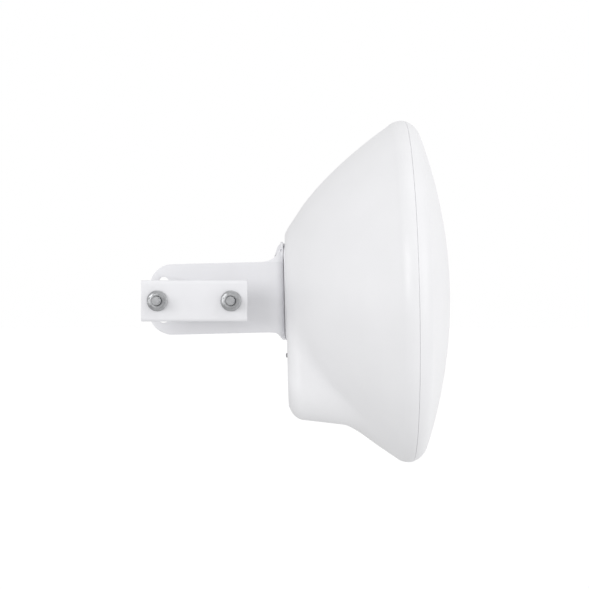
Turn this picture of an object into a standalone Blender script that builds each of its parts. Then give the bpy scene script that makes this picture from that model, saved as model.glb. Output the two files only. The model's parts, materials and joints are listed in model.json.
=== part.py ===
"""Outdoor wireless bridge: a dish radio on a tilting bracket, clamped to a round pole.

World frame: origin on the pole's axis at the height of the two clamp bolts, +Z up the pole,
+X where the dish looks, +Y from the pole towards the bracket's arm. Lengths are in metres.
Everything that tilts is parented to the pivot frame, whose origin is on the pivot bolt's axis
at the arm's pole-side face. The dish frame sits inside it, on the boresight at the seam plane.
"""

import math

import bmesh
import bpy
from mathutils import Matrix, Vector

mm = 0.001

# ---- driving dimensions -------------------------------------------------------------------
POLE_RADIUS = 24.15 * mm
BOLT_OFFSET = 40.35 * mm
BOLT_RADIUS = 5.0 * mm
SHEET = 3.0 * mm
GAP = 0.3 * mm
TILT_AT_REST = math.radians(1.4)
SLOT_LOW = math.radians(-12.7)
SLOT_HIGH = math.radians(16.9)

RIM_RADIUS = 196.5 * mm
BACK_X = -140.0 * mm
APEX_X = 47.5 * mm
DISH_FROM_PIVOT = Vector((200.15, 46.0, 5.65)) * mm
AROUND = 64

# outer skin: paraboloid, rim roundover and dome
BOWL_FOUR_F = 258.0 * mm
BOWL_VERTEX_X = -159.3 * mm
ROUND_RADIUS = 22.0 * mm
ROUND_CENTRE = Vector((-4.0, RIM_RADIUS / mm - 22.0)) * mm
DOME_RADIUS = 534.0 * mm
WALL = 3.6 * mm
BACK_WALL = 4.0 * mm

# electronics bulge below the boresight
BULGE_HALF_WIDTH = 77.0 * mm
BULGE_FLOOR = -140.1 * mm
BULGE_FLOOR_DRAFT = 0.137
BULGE_SIDE_DRAFT = 0.05
BULGE_CORNER = 36.0 * mm
BULGE_TOP_CENTRE = -12.0 * mm
BULGE_BLEND = 12.0 * mm
BACK_ROUND_LOW = 15.0 * mm
BACK_ROUND_TOP = 5.0 * mm

# bracket, in the pivot frame
ARM_LOW = -36.8 * mm
ARM_HIGH = 42.9 * mm
ARM_END_RADIUS = 95.5 * mm
FLANGE_OUT_X = 58.15 * mm
FLANGE_LOW = -45.7 * mm
FLANGE_HIGH = 65.9 * mm
FLANGE_WIDTH = 92.0 * mm
BEND_RADIUS = 9.0 * mm
LIP_DEPTH = 14.0 * mm
PAD_HEIGHT = 1.7 * mm
PAD_LOW, PAD_HIGH = -52.0 * mm, 50.4 * mm
PAD_CROWN_RADIUS = 28.0 * mm
PAD_CROWN_Z = 31.0 * mm
SCREW_HALF_Y = 31.0 * mm
SCREW_HALF_Z = 36.0 * mm
PATTERN_RISE = 4.4 * mm
INSERT_DEPTH_X = -133.0 * mm

# port bay and its door, in the dish frame
BAY_HALF_Y = 37.0 * mm
BAY_LOW = -120.0 * mm
BAY_HIGH = -65.0 * mm
BAY_FLOOR_X = -108.0 * mm
DOOR_HALF_Y = 40.7 * mm
DOOR_LOW = -123.7 * mm
DOOR_HIGH = -61.3 * mm
DOOR_SWING_GAP = 0.9 * mm
HINGE_X = -137.9 * mm
HINGE_Z = -127.5 * mm
KNUCKLE_RADIUS = 2.0 * mm
DOOR_SCREW_Z = -70.4 * mm

# pole clamp and its bolts, in the world frame
CLAMP_HALF_X = 58.2 * mm
CLAMP_HALF_Z = 22.6 * mm
CLAMP_FRONT_Y = -33.0 * mm
CLAMP_DEPTH = 16.0 * mm
CLAMP_BEND = 4.0 * mm
BOLT_END_Y = -62.0 * mm
NOTCH_HALF_ANGLE = math.radians(60)

# what goes through the housing's walls, in the dish frame
LIGHT_PIPE_Y = -53.0 * mm
VENT_PLACE = (0, 53.0 * mm, -38.0 * mm)
GROMMET_X = -119.0 * mm
GROMMET_RADIUS = 8.0 * mm
CABLE_BORE = 3.4 * mm
BUTTON_X = -126.0 * mm
BUTTON_Y = -18.0 * mm

# inside
REFLECTOR_VERTEX_X = -108.0 * mm
REFLECTOR_FOUR_F = 360.0 * mm
REFLECTOR_RADIUS = 174.0 * mm
BOARD_BACK_X = -120.8 * mm
BOARD_FRONT_X = -119.2 * mm
BOARD_HALF_Y = 56.0 * mm
BOARD_LOW = -58.0 * mm
BOARD_HIGH = 50.0 * mm


# ---- scene, materials and small makers ----------------------------------------------------
def clear_scene():
    for old in list(bpy.data.objects):
        bpy.data.objects.remove(old, do_unlink=True)


def material(name, colour, roughness, metallic=0.0):
    made = bpy.data.materials.new(name)
    made.use_nodes = True
    shader = made.node_tree.nodes["Principled BSDF"]
    shader.inputs["Base Color"].default_value = (*colour, 1.0)
    shader.inputs["Roughness"].default_value = roughness
    shader.inputs["Metallic"].default_value = metallic
    made.diffuse_color = (*colour, 1.0)
    return made


def make_materials():
    return {
        "white_asa": material("white_asa", (0.86, 0.86, 0.87), 0.38),
        "white_coat": material("white_coat", (0.84, 0.84, 0.86), 0.45),
        "zinc_steel": material("zinc_steel", (0.55, 0.54, 0.52), 0.35, 1.0),
        "rubber": material("rubber", (0.06, 0.06, 0.06), 0.8),
        "reflector_metal": material("reflector_metal", (0.80, 0.81, 0.82), 0.3, 1.0),
        "board_green": material("board_green", (0.03, 0.18, 0.09), 0.5),
        "chip_black": material("chip_black", (0.03, 0.03, 0.03), 0.5),
        "heat_sink_metal": material("heat_sink_metal", (0.62, 0.63, 0.65), 0.4, 1.0),
        "brass": material("brass", (0.72, 0.55, 0.24), 0.35, 1.0),
        "cone_resin": material("cone_resin", (0.80, 0.78, 0.70), 0.4),
        "light_pipe": material("light_pipe", (0.75, 0.80, 0.85), 0.15),
    }


def frame(name, parent, location, pitch=0.0):
    """An empty that carries the pieces of one rigid group. Pitch lifts +X."""
    made = bpy.data.objects.new(name, None)
    bpy.context.scene.collection.objects.link(made)
    made.parent = parent
    made.location = location
    made.rotation_euler = (0.0, -pitch, 0.0)
    return made


def place(name, bm, look, parent=None, location=(0, 0, 0), rotation=(0, 0, 0)):
    """Turns a bmesh into a named object, with its faces pointing out."""
    bmesh.ops.recalc_face_normals(bm, faces=bm.faces)
    mesh = bpy.data.meshes.new(name)
    bm.to_mesh(mesh)
    bm.free()
    mesh.materials.append(LOOKS[look])
    mesh.shade_smooth()
    mesh.set_sharp_from_angle(angle=math.radians(35))
    made = bpy.data.objects.new(name, mesh)
    bpy.context.scene.collection.objects.link(made)
    made.parent = parent
    made.location = location
    made.rotation_euler = rotation
    return made


def cutter(bm, parent, location=(0, 0, 0), rotation=(0, 0, 0)):
    made = place("cutter", bm, "rubber", parent, location, rotation)
    made.hide_render = True
    made.display_type = "WIRE"
    return made


def combine(obj, other, operation):
    step = obj.modifiers.new(operation.title(), "BOOLEAN")
    step.operation = operation
    step.solver = "EXACT"
    step.object = other


def cut(obj, *tools):
    for tool in tools:
        combine(obj, tool, "DIFFERENCE")


def join(obj, *tools):
    for tool in tools:
        combine(obj, tool, "UNION")


def skin(bm, rings, closed=False):
    """Faces between neighbouring rings of equal length. A closed skin also joins last to first."""
    rows = [[bm.verts.new(point) for point in ring] for ring in rings]
    pairs = list(zip(rows, rows[1:]))
    if closed:
        pairs.append((rows[-1], rows[0]))
    for first, second in pairs:
        count = len(first)
        for i in range(count):
            j = (i + 1) % count
            bm.faces.new((first[i], first[j], second[j], second[i]))
    return rows


def capped(rings):
    """A solid with a flat face over its first and its last ring."""
    bm = bmesh.new()
    rows = skin(bm, rings)
    bm.faces.new(list(reversed(rows[0])))
    bm.faces.new(rows[-1])
    return bm


def ring(x, radius, count, phase=0.0):
    turn = [phase + math.tau * i / count for i in range(count)]
    return [Vector((x, radius * math.cos(a), radius * math.sin(a))) for a in turn]


def turned(profile, count=24):
    """A solid turned about X. The profile lists (x, radius) from one flat end to the other."""
    return capped([ring(x, radius, count) for x, radius in profile])


def turned_ring(profile, count=24):
    """A hollow ring turned about X, from the closed outline of its section."""
    bm = bmesh.new()
    skin(bm, [ring(x, radius, count) for x, radius in profile], closed=True)
    return bm


def prism(outline, axis, low, high):
    """An outline of two coordinates, extruded along the third from low to high."""
    bm = bmesh.new()
    spots = {
        "X": lambda a, b: (low, a, b),
        "Y": lambda a, b: (a, low, b),
        "Z": lambda a, b: (a, b, low),
    }
    base = bm.faces.new([bm.verts.new(spots[axis](a, b)) for a, b in outline])
    pushed = bmesh.ops.extrude_face_region(bm, geom=[base])
    shift = Vector([high - low if letter == axis else 0.0 for letter in "XYZ"])
    moved = [item for item in pushed["geom"] if isinstance(item, bmesh.types.BMVert)]
    bmesh.ops.translate(bm, verts=moved, vec=shift)
    return bm


def block(low, high):
    """A box from its lowest to its highest corner."""
    bm = bmesh.new()
    centre = (Vector(low) + Vector(high)) / 2
    size = Vector(high) - Vector(low)
    bmesh.ops.create_cube(
        bm, size=1.0, matrix=Matrix.Translation(centre) @ Matrix.Diagonal((*size, 1.0))
    )
    return bm


def arc(centre, radius, start, end, steps):
    """Points on an arc, from the start angle to the end angle in radians."""
    return [
        (
            centre[0] + radius * math.cos(start + (end - start) * i / steps),
            centre[1] + radius * math.sin(start + (end - start) * i / steps),
        )
        for i in range(steps + 1)
    ]


def rounded(low, high, radius, steps=3):
    """A rounded rectangle's outline, anticlockwise."""
    (a0, b0), (a1, b1) = low, high
    quarter = math.pi / 2
    corners = [
        (a1 - radius, b0 + radius, -quarter),
        (a1 - radius, b1 - radius, 0.0),
        (a0 + radius, b1 - radius, quarter),
        (a0 + radius, b0 + radius, 2 * quarter),
    ]
    points = []
    for a, b, start in corners:
        points += arc((a, b), radius, start, start + quarter, steps)
    return points


# ---- the outer skin's shape ---------------------------------------------------------------
def bowl_radius(x):
    return math.sqrt(BOWL_FOUR_F * (x - BOWL_VERTEX_X))


def bulge_radius(x, angle):
    """Distance from the boresight to the bulge's side, in the direction of the angle."""
    half = BULGE_HALF_WIDTH + BULGE_SIDE_DRAFT * (x - BACK_X)
    floor = BULGE_FLOOR - BULGE_FLOOR_DRAFT * (x - BACK_X)
    across, up = abs(math.cos(angle)), math.sin(angle)
    top = up * BULGE_TOP_CENTRE
    over_top = top + math.sqrt(top * top - BULGE_TOP_CENTRE**2 + half * half)
    if over_top * up >= BULGE_TOP_CENTRE:
        return over_top
    centre = Vector((half - BULGE_CORNER, floor + BULGE_CORNER))
    along = centre.dot((across, up))
    side = half / across if across > 1e-9 else math.inf
    if side * up >= centre.y:
        return side
    flat = floor / up
    if flat * across <= centre.x:
        return flat
    return along + math.sqrt(along * along - centre.length_squared + BULGE_CORNER**2)


def smooth_max(a, b, blend):
    share = max(blend - abs(a - b), 0.0) / blend
    return max(a, b) + share * share * blend / 4


def back_round(angle):
    """Radius of the edge round the back face: large below, small above."""
    share = 0.5 - 0.5 * max(-1.0, min(1.0, 1.6 * math.sin(angle)))
    return BACK_ROUND_TOP + (BACK_ROUND_LOW - BACK_ROUND_TOP) * share


def skin_radius(x, angle):
    """The body's outer radius behind the rim roundover, before the back edge is rounded."""
    return smooth_max(bowl_radius(x), bulge_radius(x, angle), BULGE_BLEND)


def back_ring(share, inset, count):
    """One ring of the rounded back edge, from share 0 at its start to 1 on the back face."""
    points = []
    for i in range(count):
        angle = math.tau * i / count
        edge = back_round(angle)
        turn = share * math.pi / 2
        x = BACK_X + edge * (1 - math.sin(turn))
        radius = skin_radius(x, angle) - edge * (1 - math.cos(turn))
        x += inset * math.sin(turn)
        radius -= inset * math.cos(turn)
        points.append(Vector((x, radius * math.cos(angle), radius * math.sin(angle))))
    return points


def wall_ring(x, inset, count):
    points = []
    for i in range(count):
        angle = math.tau * i / count
        radius = skin_radius(x, angle) - inset
        points.append(Vector((x, radius * math.cos(angle), radius * math.sin(angle))))
    return points


def round_angle_of_bowl():
    """Angle on the roundover where the paraboloid takes over, measured from the rim."""
    slope = BOWL_FOUR_F / (2 * bowl_radius(-16 * mm))
    return -math.atan(slope)


# ---- rear housing -------------------------------------------------------------------------
def make_rear_housing(dish):
    rim = ROUND_CENTRE
    inner_rim = 191.5 * mm
    start = math.asin(-rim.x / ROUND_RADIUS)
    end = round_angle_of_bowl()
    outer = []
    for i in range(5):
        turn = start + (end - start) * i / 4
        x = rim.x + ROUND_RADIUS * math.sin(turn)
        outer.append(ring(x, rim.y + ROUND_RADIUS * math.cos(turn), AROUND))
    stations = [-32, -48, -62, -74, -86, -98, -110, -119]
    outer += [wall_ring(x * mm, 0.0, AROUND) for x in stations]
    outer += [back_ring(share, 0.0, AROUND) for share in (0.0, 0.33, 0.67, 1.0)]
    inner = [ring(0.0, inner_rim, AROUND), ring(-13 * mm, inner_rim - 0.6 * mm, AROUND)]
    inner += [wall_ring(x * mm, WALL, AROUND) for x in (-24, -48, -68, -86, -104, -117)]
    inner += [back_ring(share, BACK_WALL, AROUND) for share in (0.4, 0.75, 1.0)]
    bm = bmesh.new()
    rows = skin(bm, list(reversed(outer)) + inner)
    bm.faces.new(rows[0])
    bm.faces.new(rows[-1])
    shell = place("rear_housing", bm, "white_asa", dish)

    pad_half = SCREW_HALF_Y + 9 * mm
    pad = rounded((-pad_half, PAD_LOW), (pad_half, PAD_HIGH), 10 * mm)
    join(shell, cutter(prism(pad, "X", BACK_X - PAD_HEIGHT, BACK_X + 2 * mm), dish))
    crown = turned([(BACK_X + 2.5 * mm, PAD_CROWN_RADIUS), (BACK_X - PAD_HEIGHT, PAD_CROWN_RADIUS)], 48)
    join(shell, cutter(crown, dish, (0, 0, PAD_CROWN_Z)))
    for y, z in insert_places():
        post = turned([(BACK_X + 2 * mm, 7 * mm), (-131 * mm, 7 * mm)])
        join(shell, cutter(post, dish, (0, y, z)))
    for y, z in board_screw_places():
        post = turned([(BACK_X + 2 * mm, 4 * mm), (BOARD_BACK_X - GAP, 4 * mm)], 16)
        join(shell, cutter(post, dish, (0, y, z)))
    for y, z in reflector_screw_places():
        post = turned([(-29 * mm, 4 * mm), (-24.2 * mm, 4 * mm)], 16)
        join(shell, cutter(post, dish, (0, y, z)))

    for y, z in insert_places():
        hole = turned([(-150 * mm, 4.5 * mm), (-132.6 * mm, 4.5 * mm)], 16)
        cut(shell, cutter(hole, dish, (0, y, z)))
    for y, z in board_screw_places():
        hole = turned([(-130 * mm, 1.8 * mm), (-118 * mm, 1.8 * mm)], 12)
        cut(shell, cutter(hole, dish, (0, y, z)))
    for y, z in reflector_screw_places():
        hole = turned([(-28 * mm, 1.8 * mm), (-17 * mm, 1.8 * mm)], 12)
        cut(shell, cutter(hole, dish, (0, y, z)))
    opening = rounded(
        (-DOOR_HALF_Y - GAP, DOOR_LOW - DOOR_SWING_GAP), (DOOR_HALF_Y + GAP, DOOR_HIGH + GAP), 5 * mm
    )
    cut(shell, cutter(prism(opening, "X", -150 * mm, -130 * mm), dish))
    for side in (-1, 1):
        near, far = sorted((side * 13.5 * mm, side * 26.5 * mm))
        pocket = block((-141 * mm, near, -130.2 * mm), (-134.8 * mm, far, -123.5 * mm))
        cut(shell, cutter(pocket, dish))
    bore = turned([(-32 * mm, 1.3 * mm), (32 * mm, 1.3 * mm)], 12)
    along_y = (0, 0, math.pi / 2)
    cut(shell, cutter(bore, dish, (HINGE_X, 0, HINGE_Z), along_y))
    for z in light_pipe_heights():
        hole = turned([(-150 * mm, 1.8 * mm), (-130 * mm, 1.8 * mm)], 12)
        cut(shell, cutter(hole, dish, (0, LIGHT_PIPE_Y, z)))
    step = BACK_X + 2.4 * mm
    seat = [(-150 * mm, 6.5 * mm), (step, 6.5 * mm), (step, 3.3 * mm), (-130 * mm, 3.3 * mm)]
    cut(shell, cutter(turned(seat), dish, VENT_PLACE))
    grommet_hole = turned([(-20 * mm, GROMMET_RADIUS + GAP), (20 * mm, GROMMET_RADIUS + GAP)], 20)
    cut(shell, cutter(grommet_hole, dish, (GROMMET_X, 0, -140 * mm), (0, math.pi / 2, 0)))


def insert_places():
    sides = (-SCREW_HALF_Y, SCREW_HALF_Y)
    heights = (PATTERN_RISE - SCREW_HALF_Z, PATTERN_RISE + SCREW_HALF_Z)
    return [(y, z) for y in sides for z in heights]


def board_screw_places():
    return [(y * mm, z * mm) for y in (-50, 50) for z in (-50, 43)]


def reflector_screw_places():
    reach = 179 * mm
    turns = [math.radians(45 + 90 * i) for i in range(4)]
    return [(reach * math.cos(a), reach * math.sin(a)) for a in turns]


def light_pipe_heights():
    return [z * mm for z in (-26, -34, -42)]


# ---- front radome, seal and dish optics ---------------------------------------------------
def dome_profile(inset, steps):
    """(x, radius) from the apex to where the dome meets the rim roundover."""
    reach = ROUND_CENTRE.y / (DOME_RADIUS - ROUND_RADIUS)
    limit = math.asin(reach)
    radius = DOME_RADIUS - inset
    centre_x = APEX_X - DOME_RADIUS
    return [
        (centre_x + radius * math.cos(limit * i / steps), radius * math.sin(limit * i / steps))
        for i in range(1, steps + 1)
    ]


def round_profile(inset, end_x, steps):
    """(x, radius) on the front half of the roundover, ending at the plane end_x."""
    limit = math.asin(ROUND_CENTRE.y / (DOME_RADIUS - ROUND_RADIUS))
    centre_x = APEX_X - DOME_RADIUS + (DOME_RADIUS - ROUND_RADIUS) * math.cos(limit)
    radius = ROUND_RADIUS - inset
    last = math.pi / 2 - math.asin((end_x - centre_x) / radius)
    turns = [limit + (last - limit) * i / steps for i in range(1, steps + 1)]
    return [
        (centre_x + radius * math.cos(turn), ROUND_CENTRE.y + radius * math.sin(turn))
        for turn in turns
    ]


def make_front_radome(dish):
    wall = 2.5 * mm
    spigot_in, spigot_out = 186.5 * mm, 189.0 * mm
    outer = dome_profile(0.0, 6) + round_profile(0.0, GAP, 5)
    inner = dome_profile(wall, 6)
    path = outer + [(GAP, spigot_out), (-7 * mm, spigot_out), (-7 * mm, spigot_in)]
    path += [(10.5 * mm, spigot_in)] + list(reversed(inner))
    bm = bmesh.new()
    rows = skin(bm, [ring(x, radius, AROUND) for x, radius in path])
    for row, x in ((rows[0], APEX_X), (rows[-1], APEX_X - wall)):
        tip = bm.verts.new((x, 0, 0))
        for i in range(AROUND):
            bm.faces.new((row[i], row[(i + 1) % AROUND], tip))
    place("front_radome", bm, "white_asa", dish)


def make_rim_gasket(dish):
    low, high = 189.3 * mm, 191.0 * mm
    section = [(-6 * mm, low), (-1 * mm, low), (-1 * mm, high), (-6 * mm, high)]
    place("rim_gasket", turned_ring(section, AROUND), "rubber", dish)


def make_reflector(dish):
    thick = 1.2 * mm
    radii = [9.5, 35, 70, 105, 140, REFLECTOR_RADIUS / mm]
    face = [
        (REFLECTOR_VERTEX_X + (r * mm) ** 2 / REFLECTOR_FOUR_F + thick, r * mm) for r in radii
    ]
    face.append((face[-1][0], 182.6 * mm))
    back = [(x - thick, radius) for x, radius in reversed(face)]
    bm = turned_ring(face + back, 48)
    plate = place("reflector", bm, "reflector_metal", dish)
    for y, z in reflector_screw_places():
        hole = turned([(-30 * mm, 1.8 * mm), (0.0, 1.8 * mm)], 12)
        cut(plate, cutter(hole, dish, (0, y, z)))
    for i, (y, z) in enumerate(reflector_screw_places(), 1):
        seat = face[-1][0] + GAP
        pan_screw(f"reflector_screw_{i}", dish, (seat, y, z), 2.7 * mm, 1.4 * mm, 5 * mm)


def pan_screw(name, parent, seat, head_radius, shank_radius, length):
    """A low-head screw driven towards -X, its head standing on the seat point."""
    high = 1.7 * mm
    profile = [
        (-length, shank_radius),
        (0.0, shank_radius),
        (0.0, head_radius),
        (high * 0.6, head_radius),
        (high, head_radius * 0.6),
    ]
    place(name, turned(profile, 12), "zinc_steel", parent, seat)


def make_feed(dish):
    foot, step, top = BOARD_FRONT_X + GAP, -115 * mm, -111 * mm
    adapter = [(foot, 14 * mm), (step, 14 * mm), (step, 9 * mm), (top, 9 * mm)]
    place("waveguide_adapter", turned(adapter), "heat_sink_metal", dish)
    tube = [(-110.7 * mm, 2.2 * mm), (-110.7 * mm, 6.5 * mm), (-54 * mm, 6.5 * mm), (-54 * mm, 2.2 * mm)]
    place("feed_tube", turned_ring(tube), "reflector_metal", dish)
    cone = [(-53.7 * mm, 6.5 * mm), (-48 * mm, 8 * mm), (-41 * mm, 14 * mm), (-36.3 * mm, 20.5 * mm)]
    place("dielectric_cone", turned(cone, 28), "cone_resin", dish)
    hat = [(-36 * mm, 21 * mm), (-33 * mm, 21.5 * mm), (-32 * mm, 19 * mm), (-33.2 * mm, 8 * mm)]
    place("subreflector", turned(hat, 28), "reflector_metal", dish)


# ---- electronics --------------------------------------------------------------------------
def make_electronics(dish):
    low = (BOARD_BACK_X, -BOARD_HALF_Y, BOARD_LOW)
    high = (BOARD_FRONT_X, BOARD_HALF_Y, BOARD_HIGH)
    board = place("radio_board", block(low, high), "board_green", dish)
    for y, z in board_screw_places():
        hole = turned([(-125 * mm, 1.8 * mm), (-115 * mm, 1.8 * mm)], 12)
        cut(board, cutter(hole, dish, (0, y, z)))
    for i, (y, z) in enumerate(board_screw_places(), 1):
        pan_screw(f"board_screw_{i}", dish, (BOARD_FRONT_X + GAP, y, z), 2.8 * mm, 1.4 * mm, 8 * mm)

    can = block((BOARD_FRONT_X + GAP, -46 * mm, -34 * mm), (-113.5 * mm, -17 * mm, 34 * mm))
    place("shield_can", can, "heat_sink_metal", dish)
    chip = block((-122.6 * mm, -12 * mm, -8 * mm), (BOARD_BACK_X - GAP, 12 * mm, 16 * mm))
    place("modem_chip", chip, "chip_black", dish)
    pad = block((-123.9 * mm, -14 * mm, -10 * mm), (-122.9 * mm, 14 * mm, 18 * mm))
    place("thermal_pad", pad, "rubber", dish)
    place("heat_sink", heat_sink_shape(), "heat_sink_metal", dish)
    coil = block((-128 * mm, 30 * mm, -44 * mm), (BOARD_BACK_X - GAP, 42 * mm, -28 * mm))
    place("lan_transformer", coil, "chip_black", dish)

    jack_low = (-134.6 * mm, 10 * mm, -71 * mm)
    jack_high = (BOARD_BACK_X - GAP, 26 * mm, -48 * mm)
    jack = place("ethernet_jack", block(jack_low, jack_high), "zinc_steel", dish)
    mouth = block((-132.6 * mm, 12 * mm, -75 * mm), (-123.6 * mm, 24 * mm, -56 * mm))
    cut(jack, cutter(mouth, dish))
    switch = block((-127.5 * mm, -21 * mm, -57 * mm), (BOARD_BACK_X - GAP, -15 * mm, -51 * mm))
    place("reset_switch", switch, "chip_black", dish)
    for i, z in enumerate(light_pipe_heights(), 1):
        pipe = turned([(BACK_X + GAP, 1.5 * mm), (-122 * mm, 1.5 * mm)], 12)
        place(f"led_light_pipe_{i}", pipe, "light_pipe", dish, (0, LIGHT_PIPE_Y, z))


def heat_sink_shape():
    """A plate with upright fins on its rear face, drawn as one comb outline seen from above."""
    half, pitch, fin = 22.5 * mm, 5.0 * mm, 1.6 * mm
    root, tip, front = -126.8 * mm, -134.0 * mm, -124.2 * mm
    outline = [(front, -half), (front, half)]
    count = 9
    for i in range(count):
        centre = half - fin / 2 - i * (2 * half - fin) / (count - 1)
        outline += [(tip, centre + fin / 2), (tip, centre - fin / 2)]
        if i < count - 1:
            following = centre - (2 * half - fin) / (count - 1)
            outline += [(root, centre - fin / 2), (root, following + fin / 2)]
    return prism(outline, "Z", -38 * mm, 46 * mm)


# ---- port bay, its door and what goes through its walls -----------------------------------
def make_port_bay(dish):
    wall, face_x = 2 * mm, BACK_X + BACK_WALL + GAP
    rim = rounded((-46 * mm, -124.6 * mm), (46 * mm, -56 * mm), 6 * mm)
    bay = place("port_bay", prism(rim, "X", face_x, face_x + 2 * mm), "white_asa", dish)
    tub_low = (-BAY_HALF_Y - wall, BAY_LOW - wall)
    tub_high = (BAY_HALF_Y + wall, BAY_HIGH + wall)
    tub = prism(rounded(tub_low, tub_high, 5 * mm), "X", face_x + 1 * mm, BAY_FLOOR_X + wall)
    join(bay, cutter(tub, dish))
    space = rounded((-BAY_HALF_Y, BAY_LOW), (BAY_HALF_Y, BAY_HIGH), 3 * mm)
    cut(bay, cutter(prism(space, "X", -145 * mm, BAY_FLOOR_X), dish))
    post = block((face_x, -5.5 * mm, -76 * mm), (-124 * mm, 5.5 * mm, BAY_HIGH + 1 * mm))
    join(bay, cutter(post, dish))
    hole = turned([(-140 * mm, 2 * mm), (-128 * mm, 2 * mm)], 12)
    cut(bay, cutter(hole, dish, (0, 0, DOOR_SCREW_Z)))
    jack_hole = block((-137 * mm, 9.6 * mm, -70 * mm), (-120.7 * mm, 26.4 * mm, -55 * mm))
    cut(bay, cutter(jack_hole, dish))
    upright = (0, math.pi / 2, 0)
    button_hole = turned([(-6 * mm, 2.8 * mm), (6 * mm, 2.8 * mm)], 16)
    cut(bay, cutter(button_hole, dish, (BUTTON_X, BUTTON_Y, BAY_HIGH), upright))
    floor_hole = turned([(-6 * mm, GROMMET_RADIUS + GAP), (6 * mm, GROMMET_RADIUS + GAP)], 20)
    cut(bay, cutter(floor_hole, dish, (GROMMET_X, 0, BAY_LOW), upright))

    outline = rounded(
        (-DOOR_HALF_Y + 0.2 * mm, DOOR_LOW), (DOOR_HALF_Y - 0.2 * mm, DOOR_HIGH), 4.5 * mm
    )
    seal = place("bay_gasket", prism(outline, "X", -137.6 * mm, -136.0 * mm), "rubber", dish)
    middle = rounded(
        (-BAY_HALF_Y - 0.6 * mm, BAY_LOW - 0.6 * mm),
        (BAY_HALF_Y + 0.6 * mm, BAY_HIGH + 0.6 * mm),
        3 * mm,
    )
    cut(seal, cutter(prism(middle, "X", -145 * mm, -130 * mm), dish))

    make_cable_grommet(dish)
    rim, step, foot = BACK_X + GAP, BACK_X + 2.1 * mm, BACK_X + 6.5 * mm
    vent = [(rim, 6 * mm), (step, 6 * mm), (step, 3 * mm), (foot, 3 * mm)]
    place("breather_vent", turned(vent), "chip_black", dish, VENT_PLACE)


def make_cable_grommet(dish):
    """A rubber bung through the bay's floor and the housing's floor, with its collar in the bay."""
    top, bottom = BAY_LOW + 2.5 * mm, -141.5 * mm
    reach = GROMMET_RADIUS
    profile = [
        (-top, reach + 2 * mm),
        (-BAY_LOW - GAP, reach + 2 * mm),
        (-BAY_LOW - GAP, reach),
        (-bottom, reach),
    ]
    down = (0, math.pi / 2, 0)
    bung = place("cable_grommet", turned(profile, 20), "rubber", dish, (GROMMET_X, 0, 0), down)
    bore = turned([(100 * mm, CABLE_BORE), (160 * mm, CABLE_BORE)], 16)
    cut(bung, cutter(bore, dish, (GROMMET_X, 0, 0), down))


def make_port_door(dish):
    hinge = frame("door_hinge", dish, (HINGE_X, 0, HINGE_Z))
    panel_low = (-DOOR_HALF_Y, DOOR_LOW - HINGE_Z)
    panel_high = (DOOR_HALF_Y, DOOR_HIGH - HINGE_Z)
    outside, inside = BACK_X - HINGE_X, BACK_X + 2 * mm - HINGE_X
    panel = prism(rounded(panel_low, panel_high, 4.7 * mm), "X", outside, inside)
    door = place("port_door", panel, "white_asa", hinge)
    for side in (-1, 1):
        near, far = sorted((side * 14 * mm, side * 26 * mm))
        arm = block((outside + 0.2 * mm, near, 0.0), (inside - 0.2 * mm, far, 6 * mm))
        join(door, cutter(arm, hinge))
        barrel = turned([(near, KNUCKLE_RADIUS), (far, KNUCKLE_RADIUS)], 16)
        join(door, cutter(barrel, hinge, (0, 0, 0), (0, 0, math.pi / 2)))
    bore = turned([(-40 * mm, 1.3 * mm), (40 * mm, 1.3 * mm)], 12)
    cut(door, cutter(bore, hinge, (0, 0, 0), (0, 0, math.pi / 2)))
    screw_z = DOOR_SCREW_Z - HINGE_Z
    hole = turned([(-10 * mm, 1.9 * mm), (10 * mm, 1.9 * mm)], 12)
    cut(door, cutter(hole, hinge, (0, 0, screw_z)))

    pin = turned([(-31.5 * mm, 1.0 * mm), (31.5 * mm, 1.0 * mm)], 12)
    place("hinge_pin", pin, "zinc_steel", dish, (HINGE_X, 0, HINGE_Z), (0, 0, math.pi / 2))
    screw = [
        (outside - 1.9 * mm, 1.8 * mm),
        (outside - 1.5 * mm, 2.6 * mm),
        (outside - GAP, 2.6 * mm),
        (outside - GAP, 1.5 * mm),
        (-132.8 * mm - HINGE_X, 1.5 * mm),
    ]
    captive = place("door_screw", turned(screw, 16), "zinc_steel", hinge, (0, 0, screw_z))
    slot = block((outside - 4 * mm, -0.5 * mm, -3 * mm), (outside - 1.1 * mm, 0.5 * mm, 3 * mm))
    cut(captive, cutter(slot, hinge, (0, 0, screw_z)))


def make_reset_button(dish):
    """A stepped plunger in the bay's ceiling, pushed up against the switch."""
    cap = 2.5 * mm
    profile = [(-3.0 * mm, cap * 0.8), (-2.4 * mm, cap), (2.3 * mm, cap), (2.3 * mm, 3.6 * mm)]
    profile += [(3.8 * mm, 3.6 * mm), (3.8 * mm, 1.5 * mm), (6.7 * mm, 1.5 * mm)]
    place(
        "reset_button", turned(profile, 16), "chip_black", dish,
        (BUTTON_X, BUTTON_Y, BAY_HIGH), (0, -math.pi / 2, 0),
    )


# ---- bracket ------------------------------------------------------------------------------
def bend_outline():
    """The bracket seen from above: arm, mounting flange and stiffening lip as one bent strip."""
    inner = BEND_RADIUS - SHEET
    face_x, back_x = FLANGE_OUT_X, FLANGE_OUT_X - SHEET
    far = FLANGE_WIDTH
    quarter = math.pi / 2
    outside = [(-110 * mm, 0.0)]
    outside += arc((face_x - BEND_RADIUS, BEND_RADIUS), BEND_RADIUS, -quarter, 0.0, 5)
    outside += arc((face_x - BEND_RADIUS, far - BEND_RADIUS), BEND_RADIUS, 0.0, quarter, 5)
    outside += [(face_x - LIP_DEPTH, far), (face_x - LIP_DEPTH, far - SHEET)]
    inside = arc((back_x - inner, far - SHEET - inner), inner, quarter, 0.0, 3)
    inside += arc((back_x - inner, SHEET + inner), inner, 0.0, -quarter, 3)
    return outside + inside + [(-110 * mm, SHEET)]


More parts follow.
